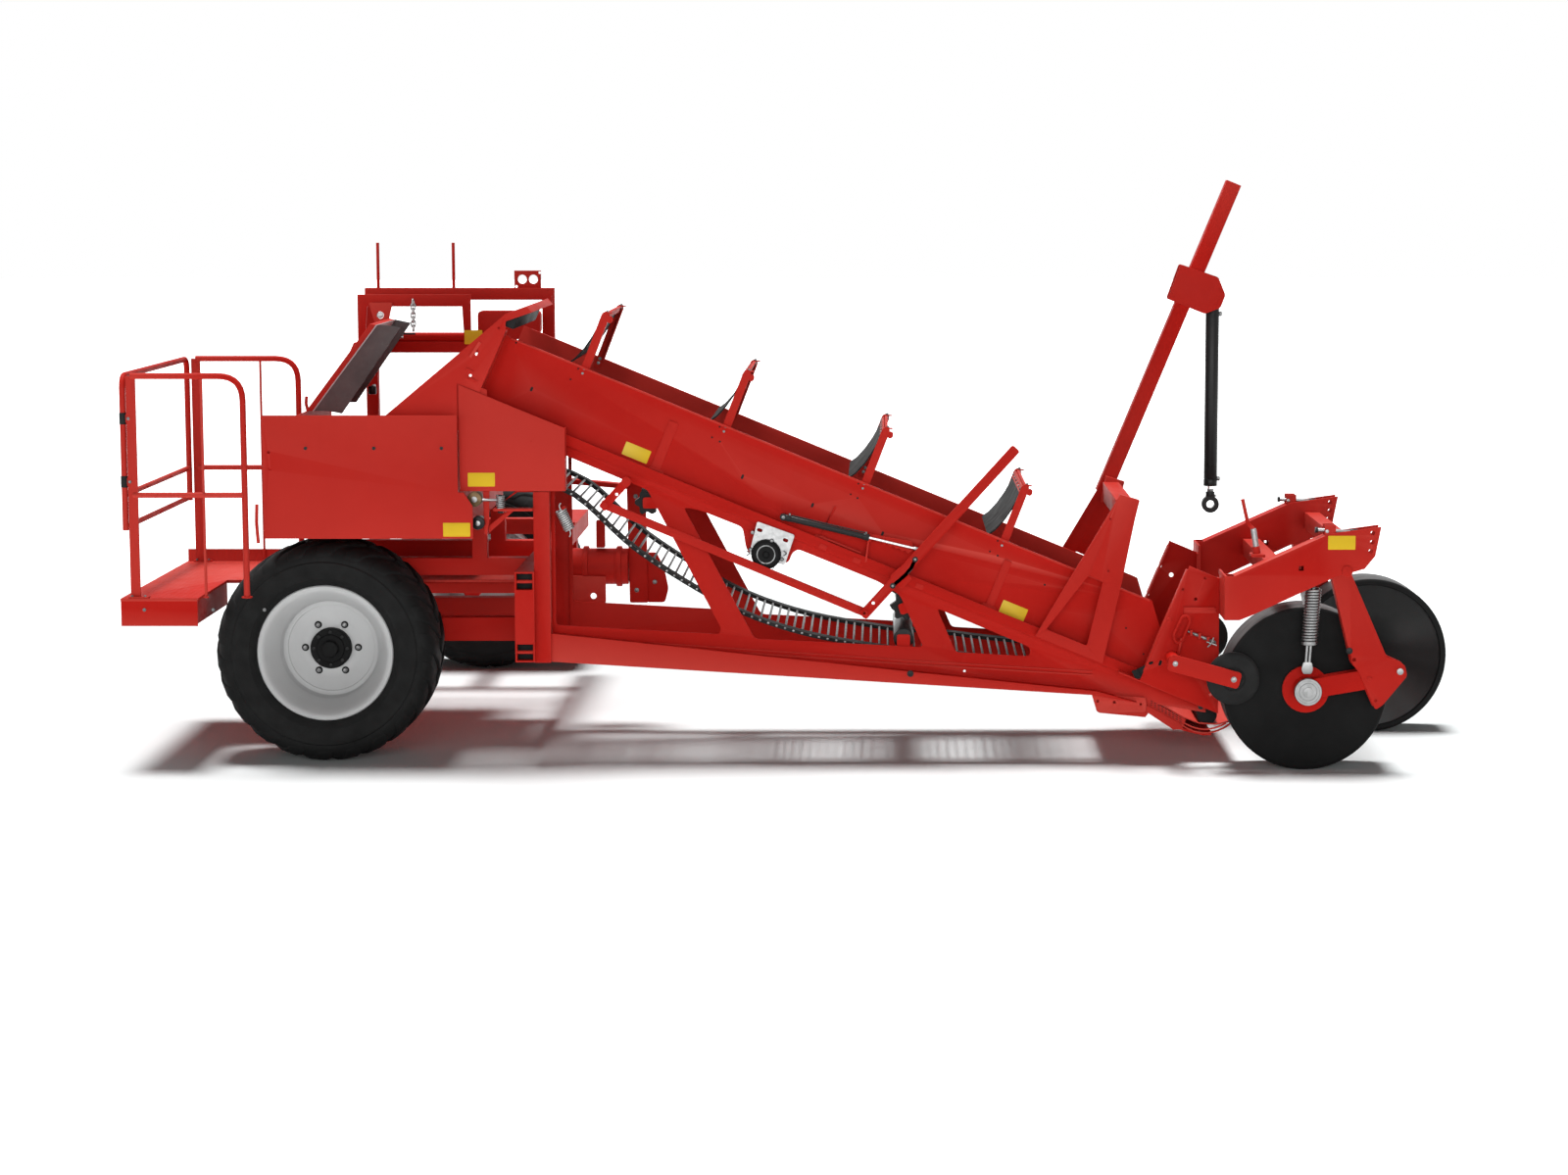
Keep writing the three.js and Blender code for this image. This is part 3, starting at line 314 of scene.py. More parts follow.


# The third tone of each paint is the paler colour that paint() lays on sharp edges as a painted highlight, and
# also on its random dust spots.
RED_TONES = ((0.46, 0.010, 0.006), (0.51, 0.014, 0.009), (0.60, 0.06, 0.045))
RED = paint("red_paint", *RED_TONES)
TREAD = tread_paint("red_tread_plate", *RED_TONES)
RIM = paint("rim_paint", 0.52, 0.58, 0.70)
BLACK = paint("black_paint", 0.006, 0.010, 0.04, (0.25, 0.34), 0.14)
MATTE_BLACK = paint("matte_black_paint", 0.0045, 0.0065, 0.02, (0.55, 0.7), 0.1)
DISH_BLACK = paint("dished_steel", 0.014, 0.02, 0.06, (0.28, 0.36), 0.6)
YELLOW = paint("yellow_plate", (0.74, 0.46, 0.008), (0.80, 0.51, 0.011), (0.86, 0.62, 0.10))
TYRE = rubber("tyre_rubber", 0.0065, 0.0105, 0.72)
RUBBER = rubber("belt_rubber", 0.009, 0.016, 0.6)
SHEET_RUBBER = rubber("sheet_rubber", 0.10, 0.16, 0.7)
SHEET_BLACK = rubber("black_sheet_rubber", 0.007, 0.012, 0.66)
# Painted light: the depth wheels' black rubber tread band is drawn pale grey all round, as it looks where lit
# from above.
PAINTED_LIT_BAND = rubber("wheel_band_painted_light", 0.07, 0.11, 0.5)
RUBBER_DISC = rubber("press_wheel_rubber", 0.012, 0.02, 0.7)
ZINC = metal("galvanised_steel", 0.31, 0.39, 0.44)
STEEL = metal("turned_steel", 0.24, 0.29, 0.38, 40, (1, 12, 1))
CHROME = metal("chromed_rod", 0.72, 0.82, 0.09, 30)
DARK_STEEL = metal("worn_dark_steel", 0.10, 0.22, 0.42, 70)
BRASS = metal("worn_brass", (0.10, 0.065, 0.035), (0.15, 0.10, 0.055), 0.5, 50)

slot_material = {
    "tyre": TYRE, "rim": RIM, "wheel_rubber": RUBBER, "wheel_steel": MATTE_BLACK, "web": RUBBER,
    "black_steel": BLACK, "chrome": CHROME, "zinc": ZINC,
}
for node_name, node in nodes.items():
    node.data.materials.clear()
    node.data.materials.append(slot_material.get(slot_of_node.get(node_name), RED))


# ---- outlines ----
def circle(x, z, radius, count=20):
    return [(x + radius * math.cos(2 * math.pi * i / count), z + radius * math.sin(2 * math.pi * i / count))
            for i in range(count)]


def turned(points, x, z, degrees):
    """Points about the origin, turned and moved to (x, z)."""
    c, s = math.cos(math.radians(degrees)), math.sin(math.radians(degrees))
    return [(x + u * c - v * s, z + u * s + v * c) for u, v in points]


def slot_ring(x, z, length, width, degrees=0, count=8):
    """An oval of the given overall length."""
    ring = []
    for end in (1, -1):
        for i in range(count + 1):
            angle = math.pi * (i / count - end / 2)
            ring.append((end * (length - width) / 2 + width / 2 * math.cos(angle), width / 2 * math.sin(angle)))
    return turned(ring, x, z, degrees)


def oblong(x, z, width, height, degrees):
    u, v = width / 2, height / 2
    return turned([(-u, -v), (u, -v), (u, v), (-u, v)], x, z, degrees)


def square(x, z, size):
    return oblong(x, z, size, size, 0)


def corner_points(before, corner, after, reach, steps):
    """A bent corner, as points from one straight run to the next."""
    start = corner + (before - corner).normalized() * reach
    end = corner + (after - corner).normalized() * reach
    return [start.lerp(corner, t).lerp(corner.lerp(end, t), t) for t in (i / steps for i in range(steps + 1))]


def rounded(points, radius, steps=4):
    """A closed outline with its corners rounded."""
    ring = []
    for index in range(len(points)):
        before, corner, after = (Vector(points[k % len(points)]) for k in (index - 1, index, index + 1))
        reach = min(radius, (corner - before).length / 2.05, (corner - after).length / 2.05)
        ring += [tuple(p) for p in corner_points(before, corner, after, reach, steps)]
    return ring


def bent_path(points, bend, steps=7):
    path = [points[0]]
    for before, corner, after in zip(points, points[1:], points[2:]):
        path += corner_points(before, corner, after, bend, steps)
    return [*path, points[-1]]


# ---- shapes ----
def round_edges(part, width, angle):
    sharp = [e for e in part.edges if len(e.link_faces) == 2 and e.calc_face_angle(0) > math.radians(angle)]
    bmesh.ops.bevel(part, geom=sharp, offset=width, offset_type="OFFSET", segments=2, profile=0.5,
                    affect="EDGES", clamp_overlap=True)


def thicken(part, depth):
    """Pulls a sheet out along Y."""
    made = bmesh.ops.extrude_face_region(part, geom=part.faces[:])["geom"]
    bmesh.ops.translate(part, verts=[g for g in made if isinstance(g, bmesh.types.BMVert)], vec=(0, depth, 0))
    bmesh.ops.recalc_face_normals(part, faces=part.faces)


def skin(rings, closed=False, capped=False):
    """Faces between neighbouring rings of places; a ring of one place closes to a point."""
    part = bmesh.new()
    rings = [[part.verts.new(place) for place in ring] for ring in rings]
    sides = max(len(ring) for ring in rings)
    for first, second in zip(rings, rings[1:] + rings[:1] if closed else rings[1:]):
        for i in range(sides):
            corners = [ring[k % len(ring)] for ring, k in
                       ((first, i), (first, (i + 1) % sides), (second, (i + 1) % sides), (second, i))]
            corners = list(dict.fromkeys(corners))
            if len(corners) > 2:
                part.faces.new(corners)
    if capped:
        part.faces.new(rings[0])
        part.faces.new(rings[-1])
    bmesh.ops.recalc_face_normals(part, faces=part.faces)
    return part


class Shape:
    """Gathers solids into one mesh, at the drawing's scale and in its coordinates."""

    def __init__(self, *materials):
        self.mesh = bmesh.new()
        self.materials = materials

    def take(self, part, material=0, bevel=0.0, angle=32, matrix=None):
        if bevel:
            round_edges(part, bevel, angle)
        for face in part.faces:
            face.material_index = material
        if matrix:
            part.transform(matrix)
        temp = bpy.data.meshes.new("part")
        part.to_mesh(temp)
        part.free()
        self.mesh.from_mesh(temp)
        bpy.data.meshes.remove(temp)

    def box(self, x, y, z, material=0, bevel=1.5):
        part = bmesh.new()
        bmesh.ops.create_cube(part, size=1)
        size = Matrix.Diagonal((x[1] - x[0], y[1] - y[0], z[1] - z[0], 1))
        middle = Vector(((x[0] + x[1]) / 2, (y[0] + y[1]) / 2, (z[0] + z[1]) / 2))
        part.transform(Matrix.Translation(middle) @ size)
        self.take(part, material, bevel)

    def plate(self, points, y, holes=(), material=0, bevel=1.0):
        """A plate standing in the XZ plane, from y[0] to y[1]."""
        part = bmesh.new()
        rims = []
        for ring in (points, *holes):
            corners = [part.verts.new((x, y[0], z)) for x, z in ring]
            rims += [part.edges.new((corners[i], corners[i - 1])) for i in range(len(corners))]
        bmesh.ops.triangle_fill(part, use_beauty=True, use_dissolve=False, edges=rims)
        thicken(part, y[1] - y[0])
        self.take(part, material, 0 if holes else bevel)

    def rod(self, a, b, radius, sides=20, material=0, bevel=0.0):
        a, b = Vector(a), Vector(b)
        part = bmesh.new()
        bmesh.ops.create_cone(part, cap_ends=True, segments=sides, radius1=radius, radius2=radius,
                              depth=(b - a).length)
        turn = (b - a).to_track_quat("Z", "Y").to_matrix().to_4x4()
        self.take(part, material, bevel, 50, Matrix.Translation((a + b) / 2) @ turn)

    def rods(self, *rows):
        for row in rows:
            self.rod(*row)

    def pins(self, x, z, *steps):
        """Round bars on one axis along Y: from, to, radius, sides, material and bevel."""
        for start, end, *rest in steps:
            self.rod((x, start, z), (x, end, z), *rest)

    def bolt(self, place, size, material=0, washer=True, direction=OUT):
        """A hexagon head on a washer."""
        face, direction = Vector(place), Vector(direction).normalized()
        if washer:
            self.rod(face, face + direction * size * 0.14, size, 20, material)
            face = face + direction * size * 0.14
        self.rod(face, face + direction * size * 0.6, size * 0.85, 6, material, size * 0.06)
        self.rod(face, face + direction * size * 0.85, size * 0.42, 14, material, size * 0.05)

    def bolts(self, places, y, size, material=0, washer=True, direction=OUT):
        for x, z in places:
            self.bolt((x, y, z), size, material, washer, direction)

    def lathe(self, profile, x, z, y, sides=64, material=0, flip=1):
        """Turns (radius, along) points about an axis along Y through (x, z), from y."""
        rings = [[(u, y + along * flip, v) for u, v in (circle(x, z, r, sides) if r else [(x, z)])]
                 for r, along in profile]
        self.take(skin(rings), material)

    def tube(self, points, radius, sides=14, bend=0.0, material=0, closed=False):
        """A round bar along straight runs with bent corners."""
        path = [Vector(p) for p in points]
        path = bent_path(path, bend) if bend else path
        rings = []
        normal = None
        for index, point in enumerate(path):
            before = path[index - 1] if index or closed else point
            after = path[(index + 1) % len(path)] if index < len(path) - 1 or closed else point
            along = (after - before).normalized()
            normal = normal or along.orthogonal().normalized()
            normal = (normal - along * normal.dot(along)).normalized()
            other = along.cross(normal)
            angles = [2 * math.pi * i / sides for i in range(sides)]
            rings.append([point + (normal * math.cos(a) + other * math.sin(a)) * radius for a in angles])
        self.take(skin(rings, closed, not closed), material)

    def spring(self, a, b, radius, wire, turns, sides=8, material=0, steps=18):
        """A coil spring from a to b."""
        a, b = Vector(a), Vector(b)
        first = (b - a).orthogonal().normalized()
        second = (b - a).normalized().cross(first)
        path = []
        for index in range(turns * steps + 1):
            angle = 2 * math.pi * index / steps
            across = first * math.cos(angle) + second * math.sin(angle)
            path.append(a.lerp(b, index / (turns * steps)) + across * radius)
        self.tube(path, wire, sides, material=material)

    def ribbon(self, points, thickness, y, material=0):
        """A strip of constant thickness that follows (x, z) points."""
        rings = []
        for index, point in enumerate(points):
            before, after = Vector(points[max(index - 1, 0)]), Vector(points[min(index + 1, len(points) - 1)])
            along = (after - before).normalized()
            across = Vector((-along.y, along.x)) * thickness / 2
            (ux, uz), (lx, lz) = Vector(point) + across, Vector(point) - across
            rings.append([(ux, y[0], uz), (ux, y[1], uz), (lx, y[1], lz), (lx, y[0], lz)])
        self.take(skin(rings, capped=True), material)

    def to_mesh(self, name):
        mesh = bpy.data.meshes.new(name)
        self.mesh.transform(TO_WORLD)
        self.mesh.to_mesh(mesh)
        self.mesh.free()
        for material in self.materials:
            mesh.materials.append(material)
        return mesh

    def done(self, name, body="frame", replaces=(), angle=35):
        place_piece(name, self.to_mesh(name), body, replaces, angle)


def place_piece(name, mesh, body, replaces, angle=35):
    for face in mesh.polygons:
        face.use_smooth = True
    mesh.set_sharp_from_angle(angle=math.radians(angle))
    piece = add_object(name, mesh)
    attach(piece, body)
    if replaces:
        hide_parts(*replaces)


def soften(node, width, holes, material, tuck):
    """Draws a node again with its sharp edges rounded; holes are (ring, y0, y1) cuts, and tuck sets
    its outermost face back."""
    part = bmesh.new()
    part.from_mesh(nodes[node].data)
    bmesh.ops.remove_doubles(part, verts=part.verts, dist=0.00002)
    bmesh.ops.dissolve_limit(part, angle_limit=math.radians(0.6), verts=part.verts, edges=part.edges)
    outermost = min(v.co.y for v in part.verts) + 0.001
    for vert in part.verts:
        if vert.co.y < outermost:
            vert.co.y += tuck * MM
    round_edges(part, width * MM, 30)
    bmesh.ops.triangulate(part, faces=[f for f in part.faces if len(f.verts) > 4])
    mesh = bpy.data.meshes.new(node + "_look")
    part.to_mesh(mesh)
    part.free()
    mesh.materials.clear()
    mesh.materials.append(material or nodes[node].data.materials[0])
    if holes:
        mesh = drilled(mesh, holes)
    place_piece(node + "_look", mesh, body_of_node[node], (node,))


def drilled(mesh, holes):
    tool = Shape()
    for ring, low, high in holes:
        tool.plate(ring, (low, high), bevel=0)
    body, cutter = add_object("drilled", mesh), add_object("cutter", tool.to_mesh("tool"))
    cut = body.modifiers.new("cut", "BOOLEAN")
    cut.operation = "DIFFERENCE"
    cut.solver = "EXACT"
    cut.object = cutter
    bpy.context.view_layer.update()
    result = bpy.data.meshes.new_from_object(body.evaluated_get(bpy.context.evaluated_depsgraph_get()))
    for item in (body, cutter):
        bpy.data.objects.remove(item)
    return result


# ---- road wheels ----
AXLE = 508
LUGS = 22
# Along the tread from its middle: Y, turn in degrees, top and base radius, half of the width.
LUG_STATIONS = (
    (6, 0.0, 508, 488, 30), (60, 3.4, 508, 488, 32), (120, 7.4, 506, 486, 34), (172, 11.4, 499, 478, 38),
    (208, 14.4, 484, 462, 38), (224, 15.6, 464, 446, 34), (230, 16.4, 448, 436, 26),
)
TYRE_HALF = [
    (292, -180), (305, -186), (311.5, -187), (312.5, -206), (322, -220), (338, -229), (344, -233), (349, -232),
    (372, -238), (400, -240), (418, -239), (424, -234), (430, -235), (448, -230), (466, -218), (480, -200),
    (488, -172), (494, -110), (496, -8), (496, 0),
]
RIM_SIDE = [
    (92, -9), (150, -9), (156, -12), (194, -12), (199, -15), (201, -21), (211, -22), (219, -28), (223, -40),
    (225, -68), (229, -84), (240, -108), (259, -150), (275, -184), (283, -195), (290, -201), (297, -203),
    (306, -202), (311, -196), (311, -188), (300, -187), (294, -178), (292, -150), (280, -120), (278, -40),
    (286, 60), (292, 150), (294, 178), (300, 187), (311, 188), (311, 196), (306, 202), (297, 203), (288, 197),
    (281, 184), (277, 150), (272, 40), (262, -46), (236, -26), (222, -10), (206, 2), (196, 4), (156, 4),
    (150, 8), (92, 8), (92, -9),
]
RIM_HUB = [(0, -86), (24, -86), (34, -82), (38, -74), (40, -58), (62, -56), (66, -50), (88, -48), (94, -42),
           (94, -8), (94, 50), (0, 50)]
STUD_CIRCLE, HUB_CIRCLE = 122, 76
VALVE_CIRCLE, VALVE_DEGREES = 255, math.degrees(2.2)


def around(x, z, radius, degrees):
    angle = math.radians(degrees)
    return x + radius * math.cos(angle), z + radius * math.sin(angle)


def add_lug(shape, x, y, start, mirror):
    rows = []
    for along, turn, top, base, half in LUG_STATIONS:
        row = []
        for radius, width in ((base, half * 1.25), (top, half), (top, -half), (base, -half * 1.25)):
            angle = start + math.radians(turn) + width / radius
            row.append((x + radius * math.cos(angle), y + along * mirror, AXLE + radius * math.sin(angle)))
        rows.append(row)
    shape.take(skin(rows, capped=True), 0, 2.5, 40)


def add_tyre(body, x, y):
    mirrored = [(r, -along) for r, along in reversed(TYRE_HALF[:-1])]
    shape = Shape(TYRE)
    shape.lathe([*TYRE_HALF, *mirrored, (294, 170), (294, -170), TYRE_HALF[0]], x, AXLE, y, 120)
    for i in range(LUGS):
        step = 2 * math.pi / LUGS
        add_lug(shape, x, y, i * step, 1)
        add_lug(shape, x, y, (i + 0.5) * step, -1)
    shape.done(body + "_tyre_tread", body, (body + "_tyre",), 30)


def add_rim(body, x, y, f):
    """The dish is open on the right side of the machine where f is 1."""
    shape = Shape(RIM, BLACK, DARK_STEEL, MATTE_BLACK)
    shape.lathe(RIM_SIDE, x, AXLE, y, 96, 0, f)
    shape.lathe(RIM_HUB, x, AXLE, y, 48, 3, f)
    face = y - 9 * f
    # Each stud stands on a matte black disc, painted shade for the dark recess round the stud, under a hex nut
    # and the stud's end.
    for i in range(6):
        shape.pins(*around(x, AXLE, STUD_CIRCLE, 60 * i), (face + 2 * f, face - 1.2 * f, 17, 24, 3),
                   (face - f, face - 12 * f, 11, 6, 2, 1.2), (face - 12 * f, face - 22 * f, 6, 12, 2, 1))
    shape.bolts([around(x, AXLE, HUB_CIRCLE, 45 * i) for i in range(8)], y - 50 * f, 9, 1, False, (0, -f, 0))
    vx, vz = around(x, AXLE, VALVE_CIRCLE, VALVE_DEGREES)
    shape.rod((vx, y - 66 * f, vz), (vx - 6, y - 100 * f, vz + 8), 5, 10, 3, 0.8)
    shape.done(body + "_rim_disc", body, (body + "_rim",), 32)


for wheel, wheel_x, wheel_y, flip in (("right_wheel", -2520, 375, 1), ("left_wheel", -2130, 3290, -1)):
    add_tyre(wheel, wheel_x, wheel_y)
    add_rim(wheel, wheel_x, wheel_y, flip)

# ---- depth wheels and press wheels ----
DRUM = [(0, 0), (352, 0), (362, 1.5), (368, 5), (371, 12), (371, 238), (368, 246), (361, 250), (345, 250),
        (341, 246), (341, 232), (336, 226), (200, 128), (110, 58), (96, 46), (90, 40), (0, 40)]
DRUM_BANDS = ((0, 4, 0), (4, 5, 1), (5, 10, 0), (10, 16, 2))      # first and last point, material
PRESS_WHEEL = (1596, 424)
PRESS_SIDE = [(0, 22), (44, 22), (46, 17), (52, 17), (54, 21), (104, 22), (113, 18), (119, 10)]


def add_depth_wheel(body, x, y, f):
    """A drum whose closed face lies at y and whose dish opens towards f."""
    shape = Shape(MATTE_BLACK, PAINTED_LIT_BAND, DISH_BLACK)
    # The tread band between points 4 and 5 takes the pale grey rubber, painted light on a black drum.
    for first, last, material in DRUM_BANDS:
        shape.lathe(DRUM[first:last + 1], x, DEPTH_WHEEL[1], y, 128, material, f)
    bmesh.ops.remove_doubles(shape.mesh, verts=shape.mesh.verts, dist=0.01)
    bmesh.ops.recalc_face_normals(shape.mesh, faces=shape.mesh.faces)
    shape.done(body + "_wheel_drum", body, (body + "_wheel",), 28)


def add_press_wheel(body, side):
    y = side_y(side, WALL + 280 - 28 - 0.5)
    shape = Shape(RUBBER_DISC, MATTE_BLACK, DARK_STEEL)
    profile = [(r, -along) for r, along in PRESS_SIDE] + [(120, 0)] + PRESS_SIDE[::-1]
    shape.lathe(profile, *PRESS_WHEEL, y, 72)
    shape.lathe([(0, 20), (34, 20), (34, 23), (26, 26), (26, 28), (0, 28)], *PRESS_WHEEL, y, 32, 1, side)
    for i in range(8):
        px, pz = around(*PRESS_WHEEL, 42, 45 * i)
        shape.box((px - 3, px + 3), sorted((y + 21 * side, y + 24 * side)), (pz - 6, pz + 6), 1, 0.8)
    shape.done(body + "_wheel_tread", body, (body + "_wheel",), 30)


add_depth_wheel("right_depth", DEPTH_WHEEL[0], 0, 1)
add_depth_wheel("left_depth", 2369, 1300, -1)
add_press_wheel("right_press", RIGHT)
add_press_wheel("left_press", LEFT)


# ---- lifting web ----
WEB_HALF = 390
WEB_PITCH = 40


def closed_length(loop):
    return sum(math.dist(a, b) for a, b in zip(loop, loop[1:] + loop[:1]))


def web_loop():
    """The inner edge of the web's loop, walked on the right face of its node, in drawing X and Z."""
    part = bmesh.new()
    part.from_mesh(nodes["lifting_web"].data)
    bmesh.ops.remove_doubles(part, verts=part.verts, dist=0.00002)
    part.verts.index_update()
    part.verts.ensure_lookup_table()
    face_y = min(v.co.y for v in part.verts)
    links = {}
    for edge in part.edges:
        on_face = all(abs(v.co.y - face_y) < 1e-4 for v in edge.verts)
        if on_face and len(edge.link_faces) == 2 and edge.calc_face_angle(0) > math.radians(60):
            first, second = (v.index for v in edge.verts)
            links.setdefault(first, []).append(second)
            links.setdefault(second, []).append(first)
    loops = []
    left = set(links)
    while left:
        here = min(left)
        loops.append([])
        while here is not None:
            left.discard(here)
            loops[-1].append(tuple((part.verts[here].co.xz - ORIGIN.xz) / MM))
            here = next((index for index in links[here] if index in left), None)
    part.free()
    return min(loops, key=closed_length)


def resampled(loop, pitch):
    closed = loop + loop[:1]
    lengths = [0.0]
    for a, b in zip(closed, closed[1:]):
        lengths.append(lengths[-1] + math.dist(a, b))
    count = round(lengths[-1] / pitch)
    out = []
    edge = 0
    for i in range(count):
        target = lengths[-1] * i / count
        while lengths[edge + 1] < target:
            edge += 1
        t = (target - lengths[edge]) / max(lengths[edge + 1] - lengths[edge], 1e-6)
        out.append(tuple(Vector(closed[edge]).lerp(Vector(closed[edge + 1]), t)))
    return out


web_inner = web_loop()
web_area = sum(a[0] * b[1] - b[0] * a[1] for a, b in zip(web_inner, web_inner[1:] + web_inner[:1]))
WEB_TURN = math.copysign(1, web_area)


def outward(loop, index, distance):
    along = (Vector(loop[(index + 1) % len(loop)]) - Vector(loop[index - 1])).normalized()
    return tuple(Vector(loop[index]) + Vector((along.y, -along.x)) * distance * WEB_TURN)


def add_web():
    shape = Shape(RUBBER, DARK_STEEL)
    steps = resampled(web_inner, WEB_PITCH / 4)
    for middle in (side_y(RIGHT, WEB_HALF - 42), side_y(LEFT, WEB_HALF - 42)):
        rings = []
        for index in range(len(steps)):
            (ix, iz), (ox, oz) = outward(steps, index, 1), outward(steps, index, 17)
            low, high = middle - 40, middle + 40
            rings.append([(ix, low, iz), (ox, low, oz), (ox, high, oz), (ix, high, iz)])
        shape.take(skin(rings, closed=True))
    places = resampled(web_inner, WEB_PITCH)
    for index in range(len(places)):
        (x, z), (ox, oz) = outward(places, index, 8), outward(places, index, 14.5)
        shape.rod((x, CENTRE - WEB_HALF, z), (x, CENTRE + WEB_HALF, z), 5.5, 10, 1, 0.8)
        for offset in (-372, -344, 344, 372):
            shape.rod((x, CENTRE + offset, z), (ox, CENTRE + offset, oz), 5, 8, 1)
    shape.done("lifting_web_belts_and_rods", "frame", ("lifting_web",), 40)


add_web()

# ---- rails and gate ----
RAIL_REAR, RAIL_FRONT, RAIL_POST = -3340, -2840, -3024
RAIL_TOP, RAIL_MIDDLE, RAIL_FOOT = 1780, 1246, 782
RAIL_RADIUS, BAR_RADIUS = 14, 12.6
HINGES = (RAIL_TOP - 190, RAIL_MIDDLE + 60)
GATE_X, GATE_LOW = -3380, 1086
GATE_HINGE, GATE_FREE = 32, 1438


def add_guard_rail(name, y, hinged):
    shape = Shape(RED, DARK_STEEL)
    shape.tube([(RAIL_REAR, y, RAIL_TOP), (RAIL_FRONT, y, RAIL_TOP), (RAIL_FRONT, y, RAIL_FOOT)],
               RAIL_RADIUS, 20, 110)
    shape.tube([(RAIL_REAR, y, RAIL_MIDDLE), (RAIL_FRONT, y, RAIL_MIDDLE)], BAR_RADIUS, 18)
    shape.box((RAIL_REAR - 22, RAIL_REAR + 22), (y - 5, y + 5), (RAIL_FOOT, RAIL_TOP), 0, 1.6)
    shape.tube([(RAIL_POST, y, RAIL_FOOT), (RAIL_POST, y, RAIL_TOP)], 6, 14)
    for x, radius in ((RAIL_FRONT, 24), (RAIL_POST, 13)):
        shape.rod((x, y, RAIL_FOOT), (x, y, RAIL_FOOT + 6), radius, 24, 0, 1.5)
    shape.box((RAIL_REAR - 30, RAIL_REAR + 60), (y - 20, y + 20), (RAIL_FOOT, RAIL_FOOT + 7), 0, 1.5)
    shape.bolts([(RAIL_REAR + dx, RAIL_FOOT + 7) for dx in (-14, 44)], y - 12, 7, 1, True, UP)
    for z in HINGES if hinged else ():
        shape.box((RAIL_REAR - 25, RAIL_REAR - 18), (y - 5, y + 18), (z - 18, z + 18), 0, 1.2)
        shape.bolt((RAIL_REAR - 12, y - 6, z), 7, 1)
    shape.done(name + "_tubes", "frame", (name,), 40)


def add_gate():
    shape = Shape(RED, RUBBER, DARK_STEEL)
    corners = ((GATE_HINGE, GATE_LOW), (GATE_HINGE, RAIL_TOP), (GATE_FREE, RAIL_TOP), (GATE_FREE, GATE_LOW))
    shape.tube([(GATE_X, y, z) for y, z in corners], RAIL_RADIUS, 20, 60)
    for z in (RAIL_MIDDLE, GATE_LOW + 15):
        shape.tube([(GATE_X, GATE_HINGE, z), (GATE_X, GATE_FREE, z)], BAR_RADIUS, 18)
    for z in HINGES:
        shape.rod((GATE_X, GATE_HINGE, z - 26), (GATE_X, GATE_HINGE, z + 26), 16.5, 24, 1, 2)
    shape.done("platform_gate_tubes", "gate", ("platform_gate",), 40)


add_guard_rail("right_guard_rail", 20, True)
add_guard_rail("left_guard_rail", 1458, False)
add_gate()

# ---- curtain holders ----
HOLDERS = (395, 1085, 1765, 2450)      # along the channel
HOLDER_LEAN = math.radians(68)
HOLDER_SIDE = [(-18, -16), (-18, 16), (40, 22), (300, 18), (312, 8), (312, -6), (296, -18), (40, -16)]
HOLDER_LIP = [(30, 16), (296, 12), (296, 18), (30, 22)]
HOLDER_EAR = [(268, 18), (268, 34), (282, 40), (298, 34), (300, 18)]
CROSS_BAR = [(276, -6), (276, 6), (304, 6), (304, -6)]
CURTAIN = [(290, -9), (240, -12), (180, -20), (120, -34), (66, -54), (30, -76)]


def add_curtain_holder(name, along):
    foot = Vector(channel(along, -40))
    up = Vector((math.cos(HOLDER_LEAN), math.sin(HOLDER_LEAN)))
    across = Vector((up.y, -up.x))

    def on(*points):
        return [tuple(foot + up * distance + across * step) for distance, step in points]

    shape = Shape(RED, SHEET_BLACK, DARK_STEEL)
    inside = WALL - 6.3
    for side in (RIGHT, LEFT):
        y = span(side, inside - 7, inside)
        shape.plate(rounded(on(*HOLDER_SIDE), 8, 3), y, bevel=1.2)
        shape.plate(on(*HOLDER_LIP), span(side, inside - 40, inside - 6))
        cx, cz = on((306, 4))[0]
        shape.box((cx - 20, cx + 22), span(side, inside - 26, inside - 5), (cz - 3, cz + 3), 0, 1)
        head = (cx, side_y(side, inside - 14), cz + 3)
        shape.bolt(head, 9, 2, True, UP)
        shape.rod(head, (head[0], head[1], head[2] - 30), 4.5, 10, 2)
        holds = on((12, 0), (34, 0))
        shape.bolts(holds, side_y(side, inside - 8), 8, 2, True, (0, -side, 0))
        shape.bolts(holds, side_y(side, WALL + 1), 7, 2, False, (0, side, 0))
    shape.plate(rounded(on(*HOLDER_EAR), 5, 3), span(RIGHT, inside - 7, inside), bevel=0.8)
    low, high = side_y(RIGHT, 422), side_y(LEFT, 422)
    shape.plate(on(*CROSS_BAR), (low, high), bevel=1.4)
    shape.ribbon(on(*CURTAIN), 6, (low + 4, high - 4), 1)
    shape.ribbon(on((296, -12), (262, -14)), 4, (low + 2, high - 2))
    for i in range(6):
        shape.bolts(on((278, -14)), low + 60 + (high - low - 120) * i / 5, 7, 2, True, (-up.y, 0, up.x))
    shape.done(name + "_and_flap", "frame", (name,))


for number, along in enumerate(HOLDERS, 1):
    add_curtain_holder(f"curtain_holder_{number}", along)

# ---- strut, hub and guard of the right depth wheel ----
STRUT_Y = side_y(RIGHT, STRUT_OFFSET)
HUB_PROFILE = [(0, 0), (12, 0), (22, 0.5), (23, 3), (37, 3), (38, 0), (40, 0), (41, 6), (51, 6), (52, 4),
               (60, 4), (62, 8), (62, 22), (0, 22)]


